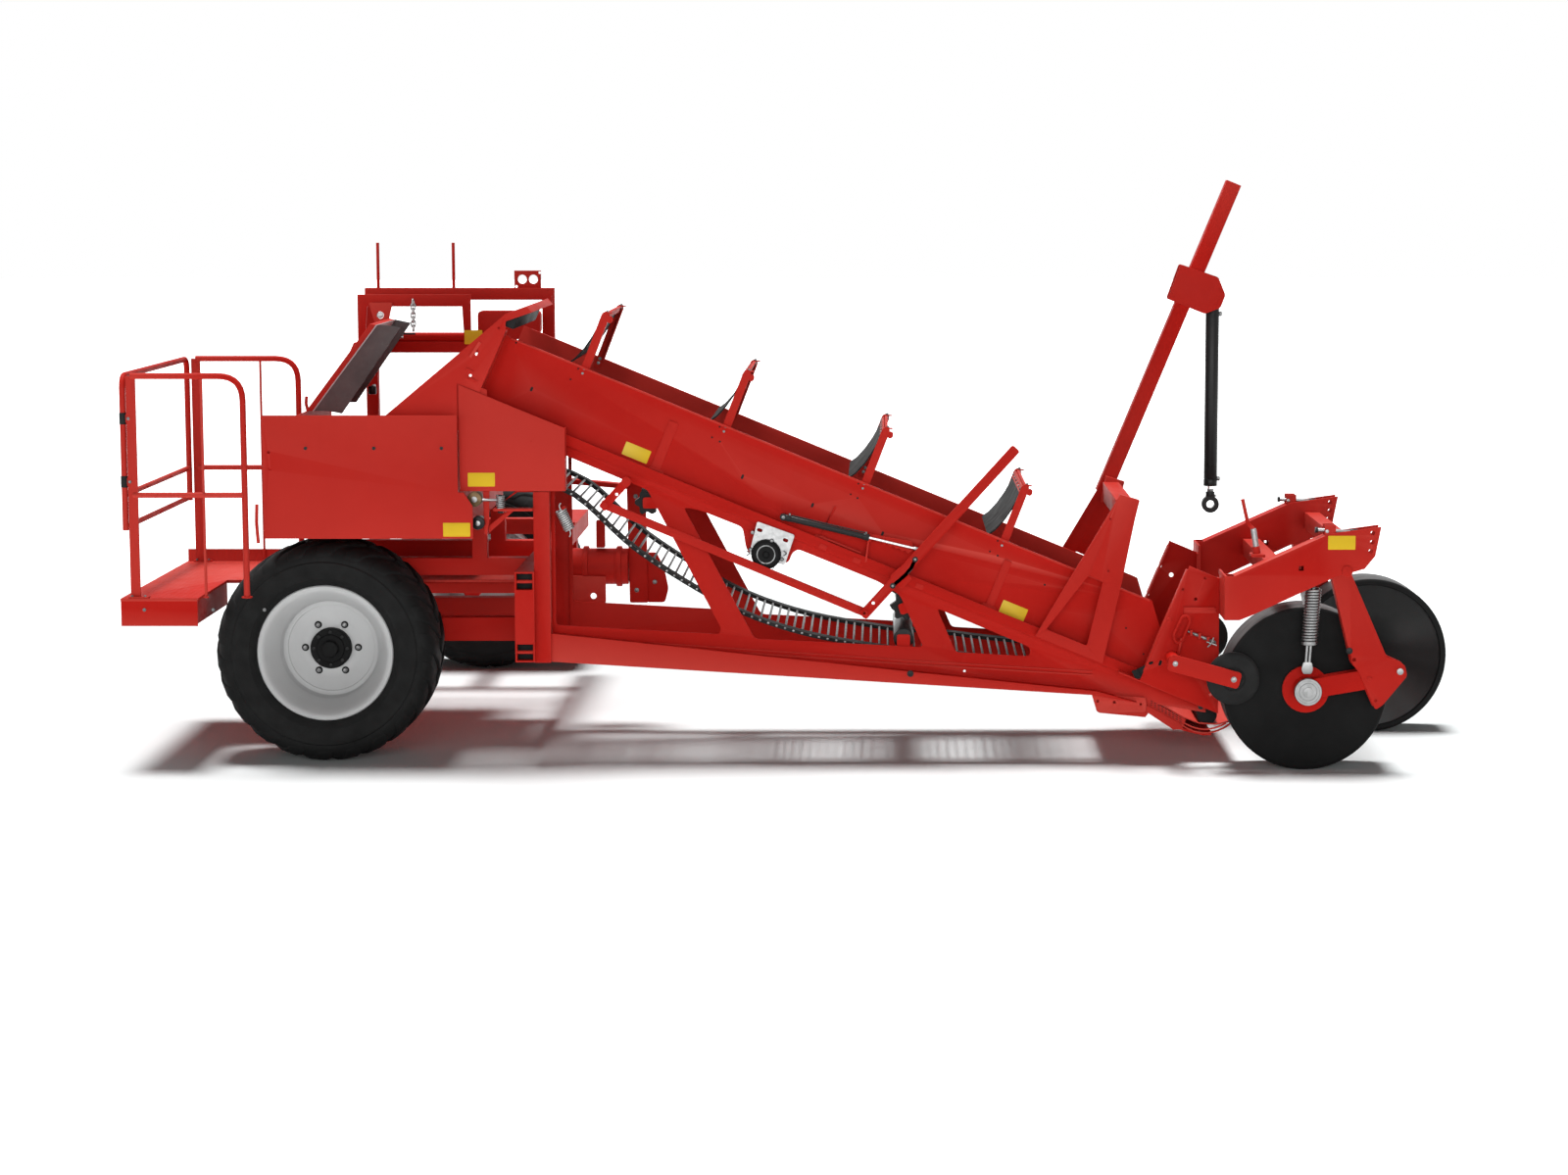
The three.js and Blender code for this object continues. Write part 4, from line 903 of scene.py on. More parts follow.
def add_strut():
    top, low, eye = (1949, STRUT_Y, 838), (1934, STRUT_Y, 592), (1925, STRUT_Y, 456)
    shape = Shape(ZINC, STEEL, DARK_STEEL)
    shape.spring(top, low, 31, 6, 19, 10, 1)
    shape.rod(top, low, 12, 20, 2)
    for offset in (-8, 8):
        shape.rod((low[0] + offset, STRUT_Y, low[2] + 6), (eye[0] + offset, STRUT_Y, eye[2]), 6.5, 16, 1)
    shape.rod((low[0], STRUT_Y, low[2] + 4), (low[0], STRUT_Y, low[2] - 12), 36, 28, 1, 2)
    fork = [(1900, 470), (1908, 448), (1944, 448), (1952, 470), (1946, 502), (1908, 502)]
    shape.plate(rounded(fork, 8), (STRUT_Y - 7, STRUT_Y + 7), (), 1, 1.5)
    shape.done("right_spring_strut_coil", "frame", ("right_spring_strut",), 45)


def add_hub():
    shape = Shape(RED, STEEL, ZINC, MATTE_BLACK)
    shape.lathe(HUB_PROFILE, *DEPTH_WHEEL, side_y(RIGHT, 752) - ARM_TUCK, 64, 1)
    for i in range(4):
        shape.pins(*around(*DEPTH_WHEEL, 96, 90 * i + 8), (-10.6, -14, 8.5, 20, 3))
    shape.done("right_depth_wheel_hub")


def add_strut_guard():
    shape = Shape(ZINC, STEEL)
    shape.plate([(1906, 815), (1960, 815), (2000, 640), (2033, 470), (1984, 429), (1955, 440), (1950, 600)],
                (96, 101), bevel=1.2)
    shape.plate(rounded([(1955, 540), (2016, 548), (2030, 462), (1968, 452)], 4), (90, 96), bevel=1.5)
    shape.bolts(((1935, 780), (1968, 560)), 96, 8, 1)
    shape.done("right_strut_guard_plate", "frame")


add_strut()
add_hub()
add_strut_guard()

# ---- cylinders ----
LIFT_X, LIFT_Y = 1606, 1188.3
BARREL_FOOT, ROD_EYE = Vector((-429, 1134)), Vector((195, 983))
LIFT_EYE = [(19, -19), (21, -21.5), (39, -21.5), (41.5, -19), (41.5, 19), (39, 21.5), (21, 21.5), (19, 19),
            (19, -19)]
SMALL_EYE = [(6, -9), (7, -10), (13, -10), (14, -9), (14, 9), (13, 10), (7, 10), (6, 9), (6, -9)]
agitator_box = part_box("agitator_rod")
CYLINDER_Y = ((agitator_box[0][1] + agitator_box[1][1]) / 2 - ORIGIN.y) / MM


def upright(x, y, *rows):
    """Upright round bars: from, to, radius, sides, material and bevel."""
    return [((x, y, start), (x, y, end), *rest) for start, end, *rest in rows]


def add_lift_cylinder():
    x, y = LIFT_X, LIFT_Y
    shape = Shape(BLACK, CHROME, DARK_STEEL)
    shape.rods(*upright(x, y, (1180, 1212, 33, 48, 0, 1.4), (1212, 1216, 31.5, 48, 0, 1.4),
                        (1216, 2042, 32.5, 48, 0, 1.4), (2042, 2050, 30, 48, 0, 1.4)))
    shape.box((x - 24, x + 24), (y - 20, y + 20), (2040, 2074), 0, 4)
    shape.pins(x, 2087, (y - 42.5, y + 42.5, 30, 40, 0, 2), (y - 42, y - 46, 13, 28, 2, 1),
               (y + 42, y + 46, 13, 28, 2, 1))
    for z in (1216, 2010):
        shape.rods(((x + 26, y, z), (x + 46, y, z), 9, 18, 2, 1),
                   ((x + 34, y, z), (x + 44, y, z), 12.5, 6, 2, 1))
    shape.done("lift_barrel_tube", "lift_cylinder", ("lift_barrel",), 40)
    shape = Shape(CHROME, BLACK, DARK_STEEL)
    shape.rods(*upright(x, y, (1990, 1150, 14, 40), (1152, 1126, 22, 36, 1, 2), (1166, 1152, 16.5, 6, 2, 1)))
    shape.lathe(LIFT_EYE, x, 1092, y, 56, 1)
    shape.rods(((x, y, 1130), (x + 22, y, 1132), 4, 12, 2, 1),
               ((x + 20, y, 1132), (x + 28, y, 1133), 5.5, 6, 2, 0.6))
    shape.done("lift_rod_and_eye", "lift_piston", ("lift_rod",), 40)


def on_cylinder(distance, raised=0):
    """A point of the agitator cylinder's axis, from its foot, or straight above that axis."""
    point = BARREL_FOOT + (ROD_EYE - BARREL_FOOT).normalized() * distance
    return (point.x, CYLINDER_Y, point.y + raised)


def add_agitator_cylinder():
    reach = (ROD_EYE - BARREL_FOOT).length
    y = CYLINDER_Y
    shape = Shape(BLACK, DARK_STEEL)
    for low, high, radius in ((8, 34, 15.5), (34, 372, 13.6), (372, 400, 15.8)):
        shape.rod(on_cylinder(low), on_cylinder(high), radius, 32, 0, 1)
    shape.pins(*BARREL_FOOT, (y - 15.5, y + 15.5, 15.5, 32, 0, 1.5), (y - 19, y - 15, 8, 20, 1, 1))
    for distance in (30, 386):
        shape.rod(on_cylinder(distance, 12), on_cylinder(distance, 24), 6, 14, 1, 0.8)
    shape.tube([on_cylinder(40, 16.5), on_cylinder(380, 18.5)], 2.6, 10)
    shape.done("agitator_barrel_tube", "cylinder", ("agitator_barrel",), 40)
    shape = Shape(CHROME, STEEL)
    shape.rods((on_cylinder(120), on_cylinder(reach - 20), 6.4, 24),
               (on_cylinder(reach - 34), on_cylinder(reach - 12), 9, 6, 1, 1))
    shape.lathe(SMALL_EYE, *ROD_EYE, y, 32, 1)
    shape.done("agitator_rod_and_eye", "piston", ("agitator_rod",), 40)


add_lift_cylinder()
add_agitator_cylinder()

# ---- elevator trough ----
TROUGH_RIGHT, TROUGH_LEFT = 1180, 1800


def add_trough():
    shape = Shape(RED, SHEET_RUBBER, RIM)
    shape.plate([(-2757, 1543), (-2725, 1543), (-2412, 1956), (-2440, 1962)], (TROUGH_RIGHT, TROUGH_LEFT),
                bevel=1.5)
    shape.plate([(-2725, 1543), (-2719, 1543), (-2406, 1956), (-2412, 1956)], (TROUGH_RIGHT - 2, TROUGH_LEFT),
                (), 2, 0.8)
    part = bmesh.new()
    rows = []
    for step in range(13):
        x, z = Vector((-2718, 1543)).lerp(Vector((-2405, 1956)), step / 12)
        depth = 128 - 26 * step / 12
        rows.append([])
        for u in (k / 6 for k in range(7)):
            y = TROUGH_RIGHT + 6 + 31.2 * math.sin(u * math.pi / 2)
            rows[-1].append(part.verts.new((x + depth * u, y, z - 16 * u * u)))
    for first, second in zip(rows, rows[1:]):
        for k in range(6):
            part.faces.new((first[k], first[k + 1], second[k + 1], second[k]))
    thicken(part, 9)
    shape.take(part, 1)
    shape.plate([(-2719, 1543), (-2610, 1543), (-2330, 1940), (-2406, 1956)],
                (TROUGH_LEFT - 8, TROUGH_LEFT), (), 1)
    shape.done("elevator_trough_and_belt", "frame", ("elevator_trough",))


add_trough()

# ---- drive motor on the truss ----
MOTOR = (-508, 963)
MOTOR_PROFILE = [(0, -9), (11, -9), (13, -6), (16, -6), (18, -9), (36, -9), (38, -5), (43, -5), (45, -9),
                 (52, -9), (56, -7), (57, -3), (64, -1), (68, 3), (68, 14), (60, 20), (60, 26), (0, 26)]


def on_motor(across, up, degrees):
    angle = math.radians(degrees)
    return MOTOR[0] + across * math.cos(angle), MOTOR[1] + up * math.sin(angle)


def add_motor():
    shape = Shape(MATTE_BLACK, ZINC, DARK_STEEL, BLACK)
    shape.plate(rounded([(-548, 1112), (-378, 1050), (-424, 912), (-586, 962)], 10), (172, 180.5),
                [slot_ring(-537, 1072, 26, 16, -20), slot_ring(-420, 1026, 26, 16, -20)], 1)
    shape.lathe(MOTOR_PROFILE, *MOTOR, 156, 56)
    shape.lathe([(38, -5.6), (43, -5.6), (43, -4), (38, -4), (38, -5.6)], *MOTOR, 156, 56, 2)
    for degrees in (-20, 70, 160, 250):
        shape.pins(*on_motor(76, 66, degrees), (172, 160, 9, 18, 3, 1), (161, 152, 7.5, 6, 2, 0.8))
    for degrees in (0, 180):
        x, z = on_motor(84, 70, degrees)
        shape.tube([(x - 6, 168, z - 8), (x + 10, 166, z + 4), (x - 6, 168, z + 16)], 2.6, 10, 5, 2)
    for x, z in ((-570, 1060), (-450, 1012)):
        shape.pins(x, z, (182, 214, 8, 20, 2, 1))
    shape.lathe([(28, -6), (31, -6), (31, 6), (28, 6), (28, -6)], MOTOR[0] + 6, MOTOR[1] - 52, 176, 32, 2)
    shape.done("web_motor_and_plate", "frame", ("web_motor",))


add_motor()

# ---- holes and slots that are cut through the steel ----
WALL_SLOTS = ((208, -182), (1240, -187), (1583, -186), (1927, -185))      # along and across the channel
WALL_HOLES = ((1760, -78), (2450, -78), (1085, -78), (2700, -120), (2980, -170))
WALL_CUT, LEFT_WALL_CUT = (208, 222), (side_y(LEFT, 420), side_y(LEFT, 440))
TRUSS_CUT, INLET_CUT, LEFT_INLET_CUT = (209, 226), (108, 132), (1160, 1196)
ARM_CUT, LEFT_ARM_CUT, LEG_CUT = (-125, 5), (1300, 1425), (-114, -96)
COVER_CUT, HOOD_CUT, LINK_CUT = (40, 60), (90, 108), (40, 140)
A_FRAME_CUT, BAG_CUT = (150, 168), (2150, 2180)
EAR_HOLES = tuple((x, z, 10.5) for x, z in ((2204, 1088), (2203, 1047), (2196, 1006)))


def bores(cut, *places, count=12):
    """Round cuts; each place is X, Z, radius."""
    return [(circle(*place, count), *cut) for place in places]


holes = {
    "right_side_wall": [(slot_ring(*channel(*place), 22, 11, 68), *WALL_CUT) for place in WALL_SLOTS]
    + bores(WALL_CUT, *((*channel(*place), 5) for place in WALL_HOLES)),
    "left_side_wall": bores(LEFT_WALL_CUT, *((*channel(*place), 12) for place in
                                             ((3020, -90), (3100, -200), (2880, -210))), count=16),
    "right_truss": bores(TRUSS_CUT, (-285, 643, 9), count=16) + bores((150, 230), (395, 420, 6)),
    "side_cover": bores(COVER_CUT, (-2735, 1436, 7), (-2731, 1360, 7)),
    "agitator_lever": bores(LINK_CUT, (-62, 700, 7), (-22, 745, 8), count=16),
    "agitator_rear_arm": bores(LINK_CUT, (-1180, 1240, 7), count=16),
    "right_inlet_plate": bores(INLET_CUT, (1439, 763, 8), count=16)
    + bores(INLET_CUT, (1480, 857, 6), (1381, 808, 6), (1515, 350, 7), (1511, 325, 7))
    + [(slot_ring(1282, 471, 26, 13, 70), *INLET_CUT), (slot_ring(1240, 471, 22, 13, 20), *INLET_CUT)],
    "left_inlet_plate": bores(LEFT_INLET_CUT, (1362, 792, 11), (1421, 748, 11), (1303, 654, 11), count=16)
    + [([(1356, 869), (1367, 863), (1284, 694), (1269, 702)], *LEFT_INLET_CUT)],
    "right_front_arm": bores(ARM_CUT, *EAR_HOLES, count=20) + [(square(1887, 930, 22), *ARM_CUT)],
    "left_front_arm": bores(LEFT_ARM_CUT, *EAR_HOLES, count=20) + [(square(1896, 890, 22), *LEFT_ARM_CUT)],
    "right_wheel_leg": bores(LEG_CUT, (2130, 518, 9), (2230, 332, 8), count=16),
    "right_a_frame": bores(A_FRAME_CUT, (1052, 1125, 5), (1045, 888, 5), (955, 640, 6)),
    "bag_frame": bores(BAG_CUT, (-1811, 2145, 23), (-1755, 2145, 23), count=28)
    + bores(BAG_CUT, (-1722, 2178, 7), (-1842, 2108, 7)),
    "discharge_hood": [(slot_ring(-1800, 1880, 26, 9, 70), *HOOD_CUT)]
    + bores(HOOD_CUT, (-1830, 1778, 6), (-1700, 1990, 6)),
}
EDGE = 1.6
slim_edges = {"side_cover": 0.9, "corner_cover": 0.9, "discharge_hood": 0.9, "agitator_link": 1.2}
redrawn = {
    "lifting_web", "platform_gate", "right_spring_strut", "lift_barrel", "lift_rod", "agitator_barrel",
    "agitator_rod", "elevator_trough", "web_motor", *(f"curtain_holder_{number}" for number in (1, 2, 3, 4)),
    *(side + name for side in ("right_", "left_") for name in
      ("wheel_tyre", "wheel_rim", "depth_wheel", "press_wheel", "guard_rail")),
}
for name in sorted(set(nodes) - redrawn):
    soften(name, slim_edges.get(name, EDGE), holes.get(name, ()),
           TREAD if name == "rear_platform" else None,
           ARM_TUCK if name in ("right_front_arm", "right_wheel_leg") else 0)


# ---- bracket frame on the far side, seen behind the corner cover ----
def add_far_bracket():
    shape = Shape(RED, DARK_STEEL)
    for ring, radius, y, bevel in (
            ([(-1490, 1206), (-1215, 1180), (-1215, 1158), (-1490, 1182)], 3, (1250, 1330), 2),
            ([(-1224, 1196), (-1136, 1188), (-1124, 598), (-1212, 598)], 8, (1285, 1345), 2),
            ([(-1130, 598), (-1130, 842), (-1082, 842), (-1044, 760), (-1025, 664), (-1042, 598)],
             14, (1300, 1325), 1),
            ([(-1372, 1004), (-1330, 1004), (-1330, 870), (-1372, 870)], 6, (1260, 1300), 2)):
        shape.plate(rounded(ring, radius), y, bevel=bevel)
    for start, end, radius in ((-1490, -1218, 88), (-1437, -1411, 99), (-1275, -1249, 99)):
        shape.rod((start, 1300, 776), (end, 1300, 776), radius, 48, 0, 3)
    shape.plate(rounded([(-1500, 742), (-1322, 735), (-1322, 608), (-1350, 598), (-1500, 598)], 8),
                (1196, 1204), [circle(-1382, 642, 15)])
    shape.plate([(-1500, 742), (-1322, 735), (-1322, 727), (-1500, 734)], (1204, 1280))
    shape.bolts(((-1180, 1120), (-1178, 660), (-1090, 700)), 1285, 11, 1)
    shape.done("far_bracket_frame")


# ---- star wheels on the agitators' shafts ----
STAR_RADIUS, STAR_WAVE, STAR_ARMS = 50, 8, 6


def add_star(node, x, z, turn):
    shape = Shape(MATTE_BLACK, DARK_STEEL)
    ring = []
    for degrees in range(0, 360, 5):
        wave = STAR_WAVE * math.cos(STAR_ARMS * math.radians(degrees) + turn)
        ring.append(around(x, z, STAR_RADIUS + wave, degrees))
    shape.plate(ring, (235, 247), [circle(x, z, 13)])
    shape.done(node + "_star_disc", body_of_node[node])


# ---- blank yellow plates ----
def add_yellow_plates():
    shape = Shape(YELLOW)
    wide, short = (122, 62), (90, 70)
    for x, z, y, degrees, size in (
            (-1787, 1309, 95, 0, wide), (-1896, 1087, 50, 0, wide), (2066, 1045, ARM_FACE, 0, wide),
            (-1096, 1421, WALL_FACE, -SLOPE_DEGREES, wide), (617, 697, WALL_FACE, -SLOPE_DEGREES, wide),
            (-2020, 1868, 1802, 0, short)):
        shape.plate(rounded(oblong(x, z, *size, degrees), 4, 3), (y - 1.0, y - 0.1), bevel=0.3)
    shape.done("blank_yellow_plates")


# ---- bolts, pins and small fittings on the side of the machine ----
def add_fittings():
    shape = Shape(DARK_STEEL, STEEL, RED, BLACK)
    shape.bolts(((-2569, 1454), (-2262, 1454), (-1959, 1454)), 50, 8, 3)
    for x, y, z, size, material in ((147, 160, 416, 15, 3), (1472, 160, 264, 13, 3), (1333, -75, 496, 12, 1),
                                    (1596, -75, 424, 13, 1)):
        shape.bolt((x, y, z), size, material)
    for x, z, *steps in (
            (2093, 917, (PIN_END, 24, 32, 2, 2)), (2108, 558, (-105, 15, 28, 3, 0.6), (PIN_END, 12, 6, 3, 1)),
            (2337, 465, (-105, 21, 28, 2, 0.6), (PIN_END, 15, 28, 1, 1.5)), (2200, 430, (-107, 12, 24, 2, 1))):
        shape.pins(x, z, *((ARM_FACE, *step) for step in steps))
    shape.bolt((-1560, 95, 1480), 5, 2, False)
    for side in (RIGHT, LEFT):
        y = side_y(side, STRUT_OFFSET)
        for dy in (-34, 34):
            shape.box((1990, 2040), (y + dy - 5, y + dy + 5), (1070, 1124), 2, 2)
        shape.rods(((1958, y, 1098), (2126, y, 1088), 9, 24, 1, 1.5),
                   ((1952, y, 1098), (1964, y, 1098), 13, 24, 3, 1.5),
                   ((2108, y, 1089), (2142, y, 1087), 15, 24, 3, 3))
        shape.pins(2000, 1096, (y - 44, y + 44, 8, 20, 1, 1))
    shape.done("bolts_and_pins", "frame")


# ---- channel wall: ribs, feet and small holes ----
def add_ribs():
    shape = Shape(RED, DARK_STEEL, MATTE_BLACK)
    skin_y = WALL_FACE + 0.4

    def on_wall(*points):
        return [channel(*point) for point in points]

    for along, top, low, width, step in (
            (838, -74, -305, 44, 0), (1668, -150, -312, 8, 20), (2486, -80, -318, 36, 0)):
        ring = on_wall((along, low), (along + width, low), (along + width, top), (along + step, top))
        shape.plate(rounded(ring, 6, 3), (WALL_FACE - 5, skin_y), bevel=1.6)
    for along in (830, 1640, 2466):
        ring = on_wall((along, -322), (along + 76, -322), (along + 70, -300), (along + 6, -300))
        shape.plate(rounded(ring, 8, 3), (WALL_FACE - 10, skin_y), bevel=1.5)
    for along in (1699, 1865, 2173):
        ring = on_wall((along - 18, -352), (along + 18, -352), (along + 18, -330), (along - 18, -330))
        shape.plate(rounded(ring, 4, 3), (178, WALL_FACE), bevel=1.5)
    shape.plate(on_wall((1668, -298), (1870, -298), (1870, -306), (1668, -306)), (196, skin_y))
    heads = [(along + offset, up) for along in HOLDERS for offset, up in ((-26, -16), (-40, -74))]
    shape.bolts(on_wall(*heads, (66, -15), (3120, -162), (3240, -242)), WALL_FACE, 5, 2, False)
    # Matte black sheets set just inside the cut slots and holes: painted shade, giving each opening a dark
    # inside.
    for place in WALL_SLOTS:
        shape.plate(slot_ring(*channel(*place), 24, 13, 68), (217, 220), (), 2, 0)
    for place in WALL_HOLES:
        shape.plate(circle(*channel(*place), 6, 12), (217, 220), (), 2, 0)
    shape.done("channel_wall_ribs")


# ---- serrated quadrant and curved link beside the agitator's lever ----
TEETH = 14


def add_quadrant():
    shape = Shape(RED, BLACK, DARK_STEEL)
    teeth = []
    for i in range(1, TEETH):
        x, z = Vector((-40, 1042)).lerp(Vector((150, 968)), i / TEETH)
        teeth.append((x, z - (9 if i % 2 else 0)))
    shape.plate([(-40, 1056), (-48, 1010), *teeth, (166, 984), (151, 1020)], (176, 184), bevel=0.8)
    shape.plate([(-60, 925), (-52, 925), (-36, 1050), (-44, 1052)], (178, 215))
    shape.done("serrated_quadrant")
    shape = Shape(BLACK, DARK_STEEL)
    curve = [(168, 944), (150, 905), (122, 872), (92, 846), (66, 824)]
    shape.ribbon(curve, 17, (118, 127))
    for x, z in (curve[0], curve[-1]):
        shape.pins(x, z, (127, 116, 13, 24, 0, 1.5), (117, 110, 6, 16, 1, 1))
    shape.done("curved_link", "lever")


# ---- inlet: fold, loop handle, spindle, rubber disc ----
def add_inlet():
    shape = Shape(RED, DARK_STEEL, STEEL, SHEET_BLACK)
    shape.box((1386, 1532), (112, 121), (700, 722), 0, 3)
    shape.box((1386, 1524), (104, 121), (722, 727), 0, 2)
    loop = rounded([(1338, 600), (1352, 566), (1376, 572), (1414, 668), (1402, 691), (1378, 688)], 16, 5)
    shape.tube([(x, 96, z) for x, z in loop], 6.5, 14, closed=True)
    shape.tube([(1376, 96, 588), (1362, 100, 520), (1352, 118, 500)], 6, 12, 10)
    shape.rod((1404, 108, 618), (1532, 108, 566), 5.5, 16, 1, 1)
    for t in (0.12, 0.42, 0.72):
        x, z = 1404 + 128 * t, 618 - 52 * t
        shape.box((x - 6, x + 6), (96, 122), (z - 14, z + 14), 0, 2)
        shape.rod((x + 14, 108, z - 6), (x + 30, 108, z - 12), 8, 16, 1, 1)
    shape.tube([(1493, 92, 548), (1512, 90, 566), (1520, 90, 592)], 3.2, 10, 5, 2)
    shape.tube([(1488, 92, 572), (1534, 92, 556)], 3.2, 10, 0, 2)
    shape.pins(1320, 669, (120, 108, 10, 20, 0, 2))
    quarter = [(1160, 432), *(around(1268, 510, 138, -112 + 7.5 * i) for i in range(13)), (1330, 520)]
    shape.plate(quarter, (126, 134), (), 3, 1.5)
    shape.plate(rounded([(1152, 432), (1172, 394), (1198, 402), (1180, 442)], 3), (122, 134), (), 3, 1.5)
    shape.pins(1333, 496, (-20, -26, 34, 32, 0, 2))
    shape.done("inlet_fittings")


# ---- skid plates, perforated tray and drum under the share ----
SLOT_ROWS, SLOT_COUNT, SLOT_PITCH = 3, 9, 9


def add_skid():
    shape = Shape(RED, SHEET_BLACK, DARK_STEEL)
    ring = rounded([(975, 319), (1000, 236), (1016, 228), (1222, 232), (1228, 262), (1222, 300)], 8)
    for y in ((196, 203), (1097, 1104)):
        shape.plate(ring, y, [circle(1004, 283, 7, 14), circle(1080, 278, 7, 14), circle(1201, 269, 6, 14)])
    shape.ribbon([(1232, 301), (1300, 262), (1400, 205), (1470, 178), (1550, 172), (1625, 186)], 5, (222, 1078))
    shape.plate([(1228, 296), (1410, 196), (1398, 158), (1225, 262)], (214.6, 220))
    shape.plate([(1222, 236), (1352, 150), (1400, 150), (1390, 176), (1232, 262)], (206, 212), bevel=1.2)
    arc = [(1384 + 230 * i / 12, 178 - 44 * math.sin(math.pi * i / 12) ** 0.8) for i in range(13)]
    shape.ribbon(arc, 5, (206, 226))
    shape.ribbon([(x, z + 16) for x, z in arc[1:-1]], 5, (210, 228))
    shape.rod((1508, 232, 214), (1508, 1068, 214), 46, 40, 1, 3)
    shape.done("skid_plates_and_tray")
    # The tray's slots are not cut: thin black sheets on its face are painted shade for the dark seen through
    # each slot.
    slots = Shape(SHEET_BLACK)
    for row in range(SLOT_ROWS):
        for i in range(SLOT_COUNT):
            x, z = 1246 + 150 * i / SLOT_COUNT, 286 - 84 * i / SLOT_COUNT - row * SLOT_PITCH
            slots.plate([(x, z - 4), (x + 11, z - 10), (x + 11, z - 7), (x, z - 1)], (213.6, 214.6), bevel=0)
    slots.done("tray_slots", "frame")


# ---- crank on the front frame ----
def add_crank():
    shape = Shape(RED, ZINC, DARK_STEEL)
    shape.tube([(1638, 50, 1225), (1664, 50, 1112), (1688, 50, 1092)], 8.5, 16, 14)
    shape.rod((1688, 50, 1092), (1704, 50, 1000), 12, 24, 1, 1)
    for i in range(12):
        x, z = 1689.5 + 13 * i / 12, 1084 - 76 * i / 12
        shape.rod((x, 50, z), (x + 0.5, 50, z - 3), 13.6, 20, 1)
    shape.rod((1700, 50, 1012), (1706, 50, 980), 18, 24, 0, 2)
    shape.box((1676, 1740), (10, 90), (966, 980), 0, 3)
    shape.done("depth_crank")


# ---- springs, rollers and brackets below the corner cover ----
def add_rollers():
    shape = Shape(RED, ZINC, BRASS, BLACK, STEEL)
    shape.spring((-1437, 150, 1166), (-1398, 150, 1078), 22, 4.6, 10, 8, 1)
    shape.tube([(-1437, 150, 1166), (-1444, 150, 1186), (-1436, 150, 1198)], 3, 10, 6, 1)
    shape.tube([(-1398, 150, 1078), (-1392, 150, 1058), (-1398, 150, 1044)], 3, 10, 6, 1)
    shape.pins(-1422, 1172, (150, 185, 11, 20, 0, 1.5))
    for x, z, radius, material in ((-1822, 1218, 34, 2), (-1808, 1110, 30, 3)):
        shape.pins(x, z, (110, 186, radius, 32, material, 3), (104, 110, radius * 0.4, 20, 4, 1))
    shape.spring((-1707, 130, 1236), (-1707, 130, 1178), 17, 3.4, 7, 8, 1)
    shape.rods(*upright(-1707, 130, (1238, 1160, 7, 16, 3, 1), (1170, 1154, 14, 6, 3, 1)))
    shape.box((-1738, -1560), (112, 170), (1164, 1176), 0, 2)
    shape.plate([(-1738, 1176), (-1726, 1176), (-1640, 1252), (-1560, 1252), (-1560, 1246), (-1632, 1246)],
                (164, 170))
    shape.plate([(-1786, 1256), (-1756, 1256), (-1760, 1120), (-1770, 1050), (-1782, 1060)], (140, 148),
                bevel=1.2)
    shape.plate([(-1764, 1060), (-1640, 1170), (-1664, 1172), (-1764, 1092)], (160, 168), bevel=1.2)
    shape.rod((-1864, 128, 1214), (-1720, 128, 1214), 6, 16, 4, 1)
    shape.done("rollers_and_springs")


def add_tube_ends():
    shape = Shape(RED, MATTE_BLACK)
    for z in (523, 846):
        shape.rod((-1640, 104, z), (-1560, 104, z), 8, 20, 0, 1.5)
        shape.box((-1636, -1563), (130, 134), (z - 36, z + 36), 1, 1)
    shape.done("cross_tube_ends")


# ---- parts of the rear unit ----
CHAIN_X, CHAIN_Y, CHAIN_TOP, CHAIN_PITCH = -2318, 1798, 2040, 21


def add_chain(shape):
    for i in range(7):
        flat, deep = (1, 0.25) if i % 2 else (0.25, 1)
        ring = slot_ring(0, CHAIN_TOP - i * CHAIN_PITCH, 34, 20, 90)
        shape.tube([(CHAIN_X + u * flat, CHAIN_Y + u * deep, z) for u, z in ring], 3.6, 8, 0, 1, closed=True)


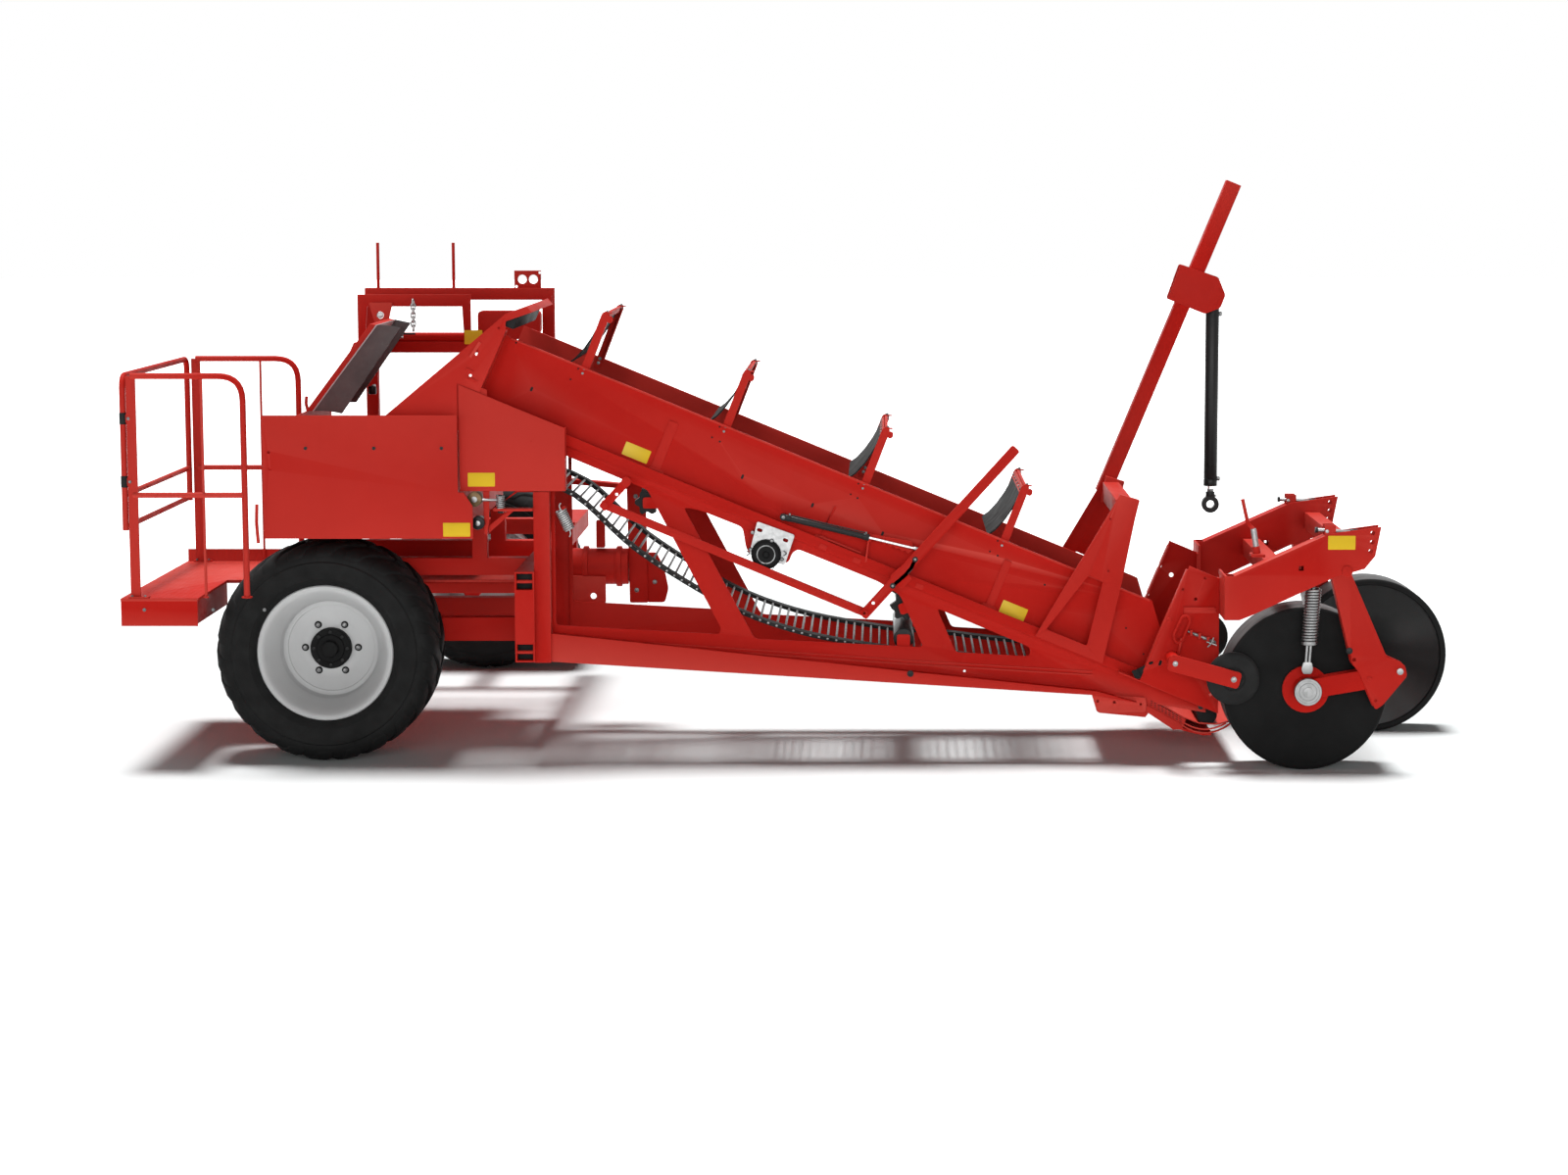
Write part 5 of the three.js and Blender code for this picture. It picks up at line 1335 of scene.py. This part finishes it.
def add_rear_unit():
    shape = Shape(RED, ZINC, BLACK, SHEET_BLACK, STEEL, DARK_STEEL)
    add_chain(shape)
    shape.pins(-2483, 1978, (1806, 1796, 16, 28, 4, 2))
    shape.plate(rounded([(-2540, 2040), (-2420, 2040), (-2446, 1930), (-2508, 1930)], 10), (1796, 1804),
                [circle(-2483, 1978, 18)])
    shape.bolts(((-2420, 1935), (-2412, 1890), (-2430, 1905), (-2404, 1920)), 1800, 8, 5)
    shape.plate(rounded([(-2450, 1950), (-2386, 1950), (-2386, 1868), (-2450, 1868)], 8), (1801, 1808))
    shape.rod((-2450, 1836, 1868), (-2372, 1836, 1868), 19, 28, 4, 2)
    shape.tube([(-2370, 1800, 1885), (-2310, 1800, 1885)], 5, 12, 0, 2)
    shape.rod((-2514, 1700, 1590), (-2514, 1700, 1630), 20, 28, 2, 4)
    shape.pins(-2514, 1628, (1700, 1770, 8, 16, 5, 1))
    shape.tube([(-2802, 1470, 1594), (-2806, 1470, 1560), (-2794, 1470, 1507)], 8, 14, 8)
    shape.tube([(-2787, 20, 1205), (-2790, 20, 1120), (-2784, 20, 1029)], 8, 14, 8)
    shape.tube([(-1784, 97, 1926), (-1829, 97, 1860)], 7)
    for ring in ([(-1846, 1812), (-1812, 1796), (-1818, 1786), (-1852, 1800)],
                 [(-1838, 1772), (-1800, 1756), (-1805, 1744), (-1843, 1760)]):
        shape.plate(rounded(ring, 3), (94, 99), bevel=0.8)
    shape.plate([(-1664, 2036), (-1606, 2050), (-1636, 1984), (-1672, 1998)], (108, 1080), (), 3)
    shape.box((-1560, -1556), (1090, 1100), (2060, 2100), 0, 1)
    shape.plate([(-1902, 1530), (-1902, 1764), (-1758, 1714), (-1758, 1668), (-1868, 1704), (-1868, 1530)],
                (106, 109), bevel=0.8)
    shape.done("rear_unit_fittings")


def add_gate_clips():
    shape = Shape(RUBBER)
    for z in HINGES:
        shape.box((GATE_X + 12, RAIL_REAR - 24), (16, 48), (z - 14, z + 14), 0, 2)
    shape.done("gate_clips", "frame")


def add_rail_grooves():
    shape = Shape(RED, DARK_STEEL)
    shape.bolts(((-3300, 730), (-2990, 730), (-2760, 730)), 1, 8, 1)
    for (x0, z0), (x1, z1) in (((-1480, 560), (148, 448)), ((148, 448), (979, 398))):
        for low, high, y in ((0, 7, 209), (18, 23, 211)):
            ring = [(x0, z0 + low), (x1, z1 + low), (x1, z1 + high), (x0, z0 + high)]
            shape.plate(ring, (y, WALL_FACE + 0.6))
    shape.done("rail_grooves")


add_far_bracket()
add_star("rear_agitator", -1050, 1191, 0)
add_star("front_agitator", 116, 707, 0.8)
add_yellow_plates()
add_fittings()
add_ribs()
add_quadrant()
add_inlet()
add_skid()
add_crank()
add_rollers()
add_tube_ends()
add_rear_unit()
add_gate_clips()
add_rail_grooves()
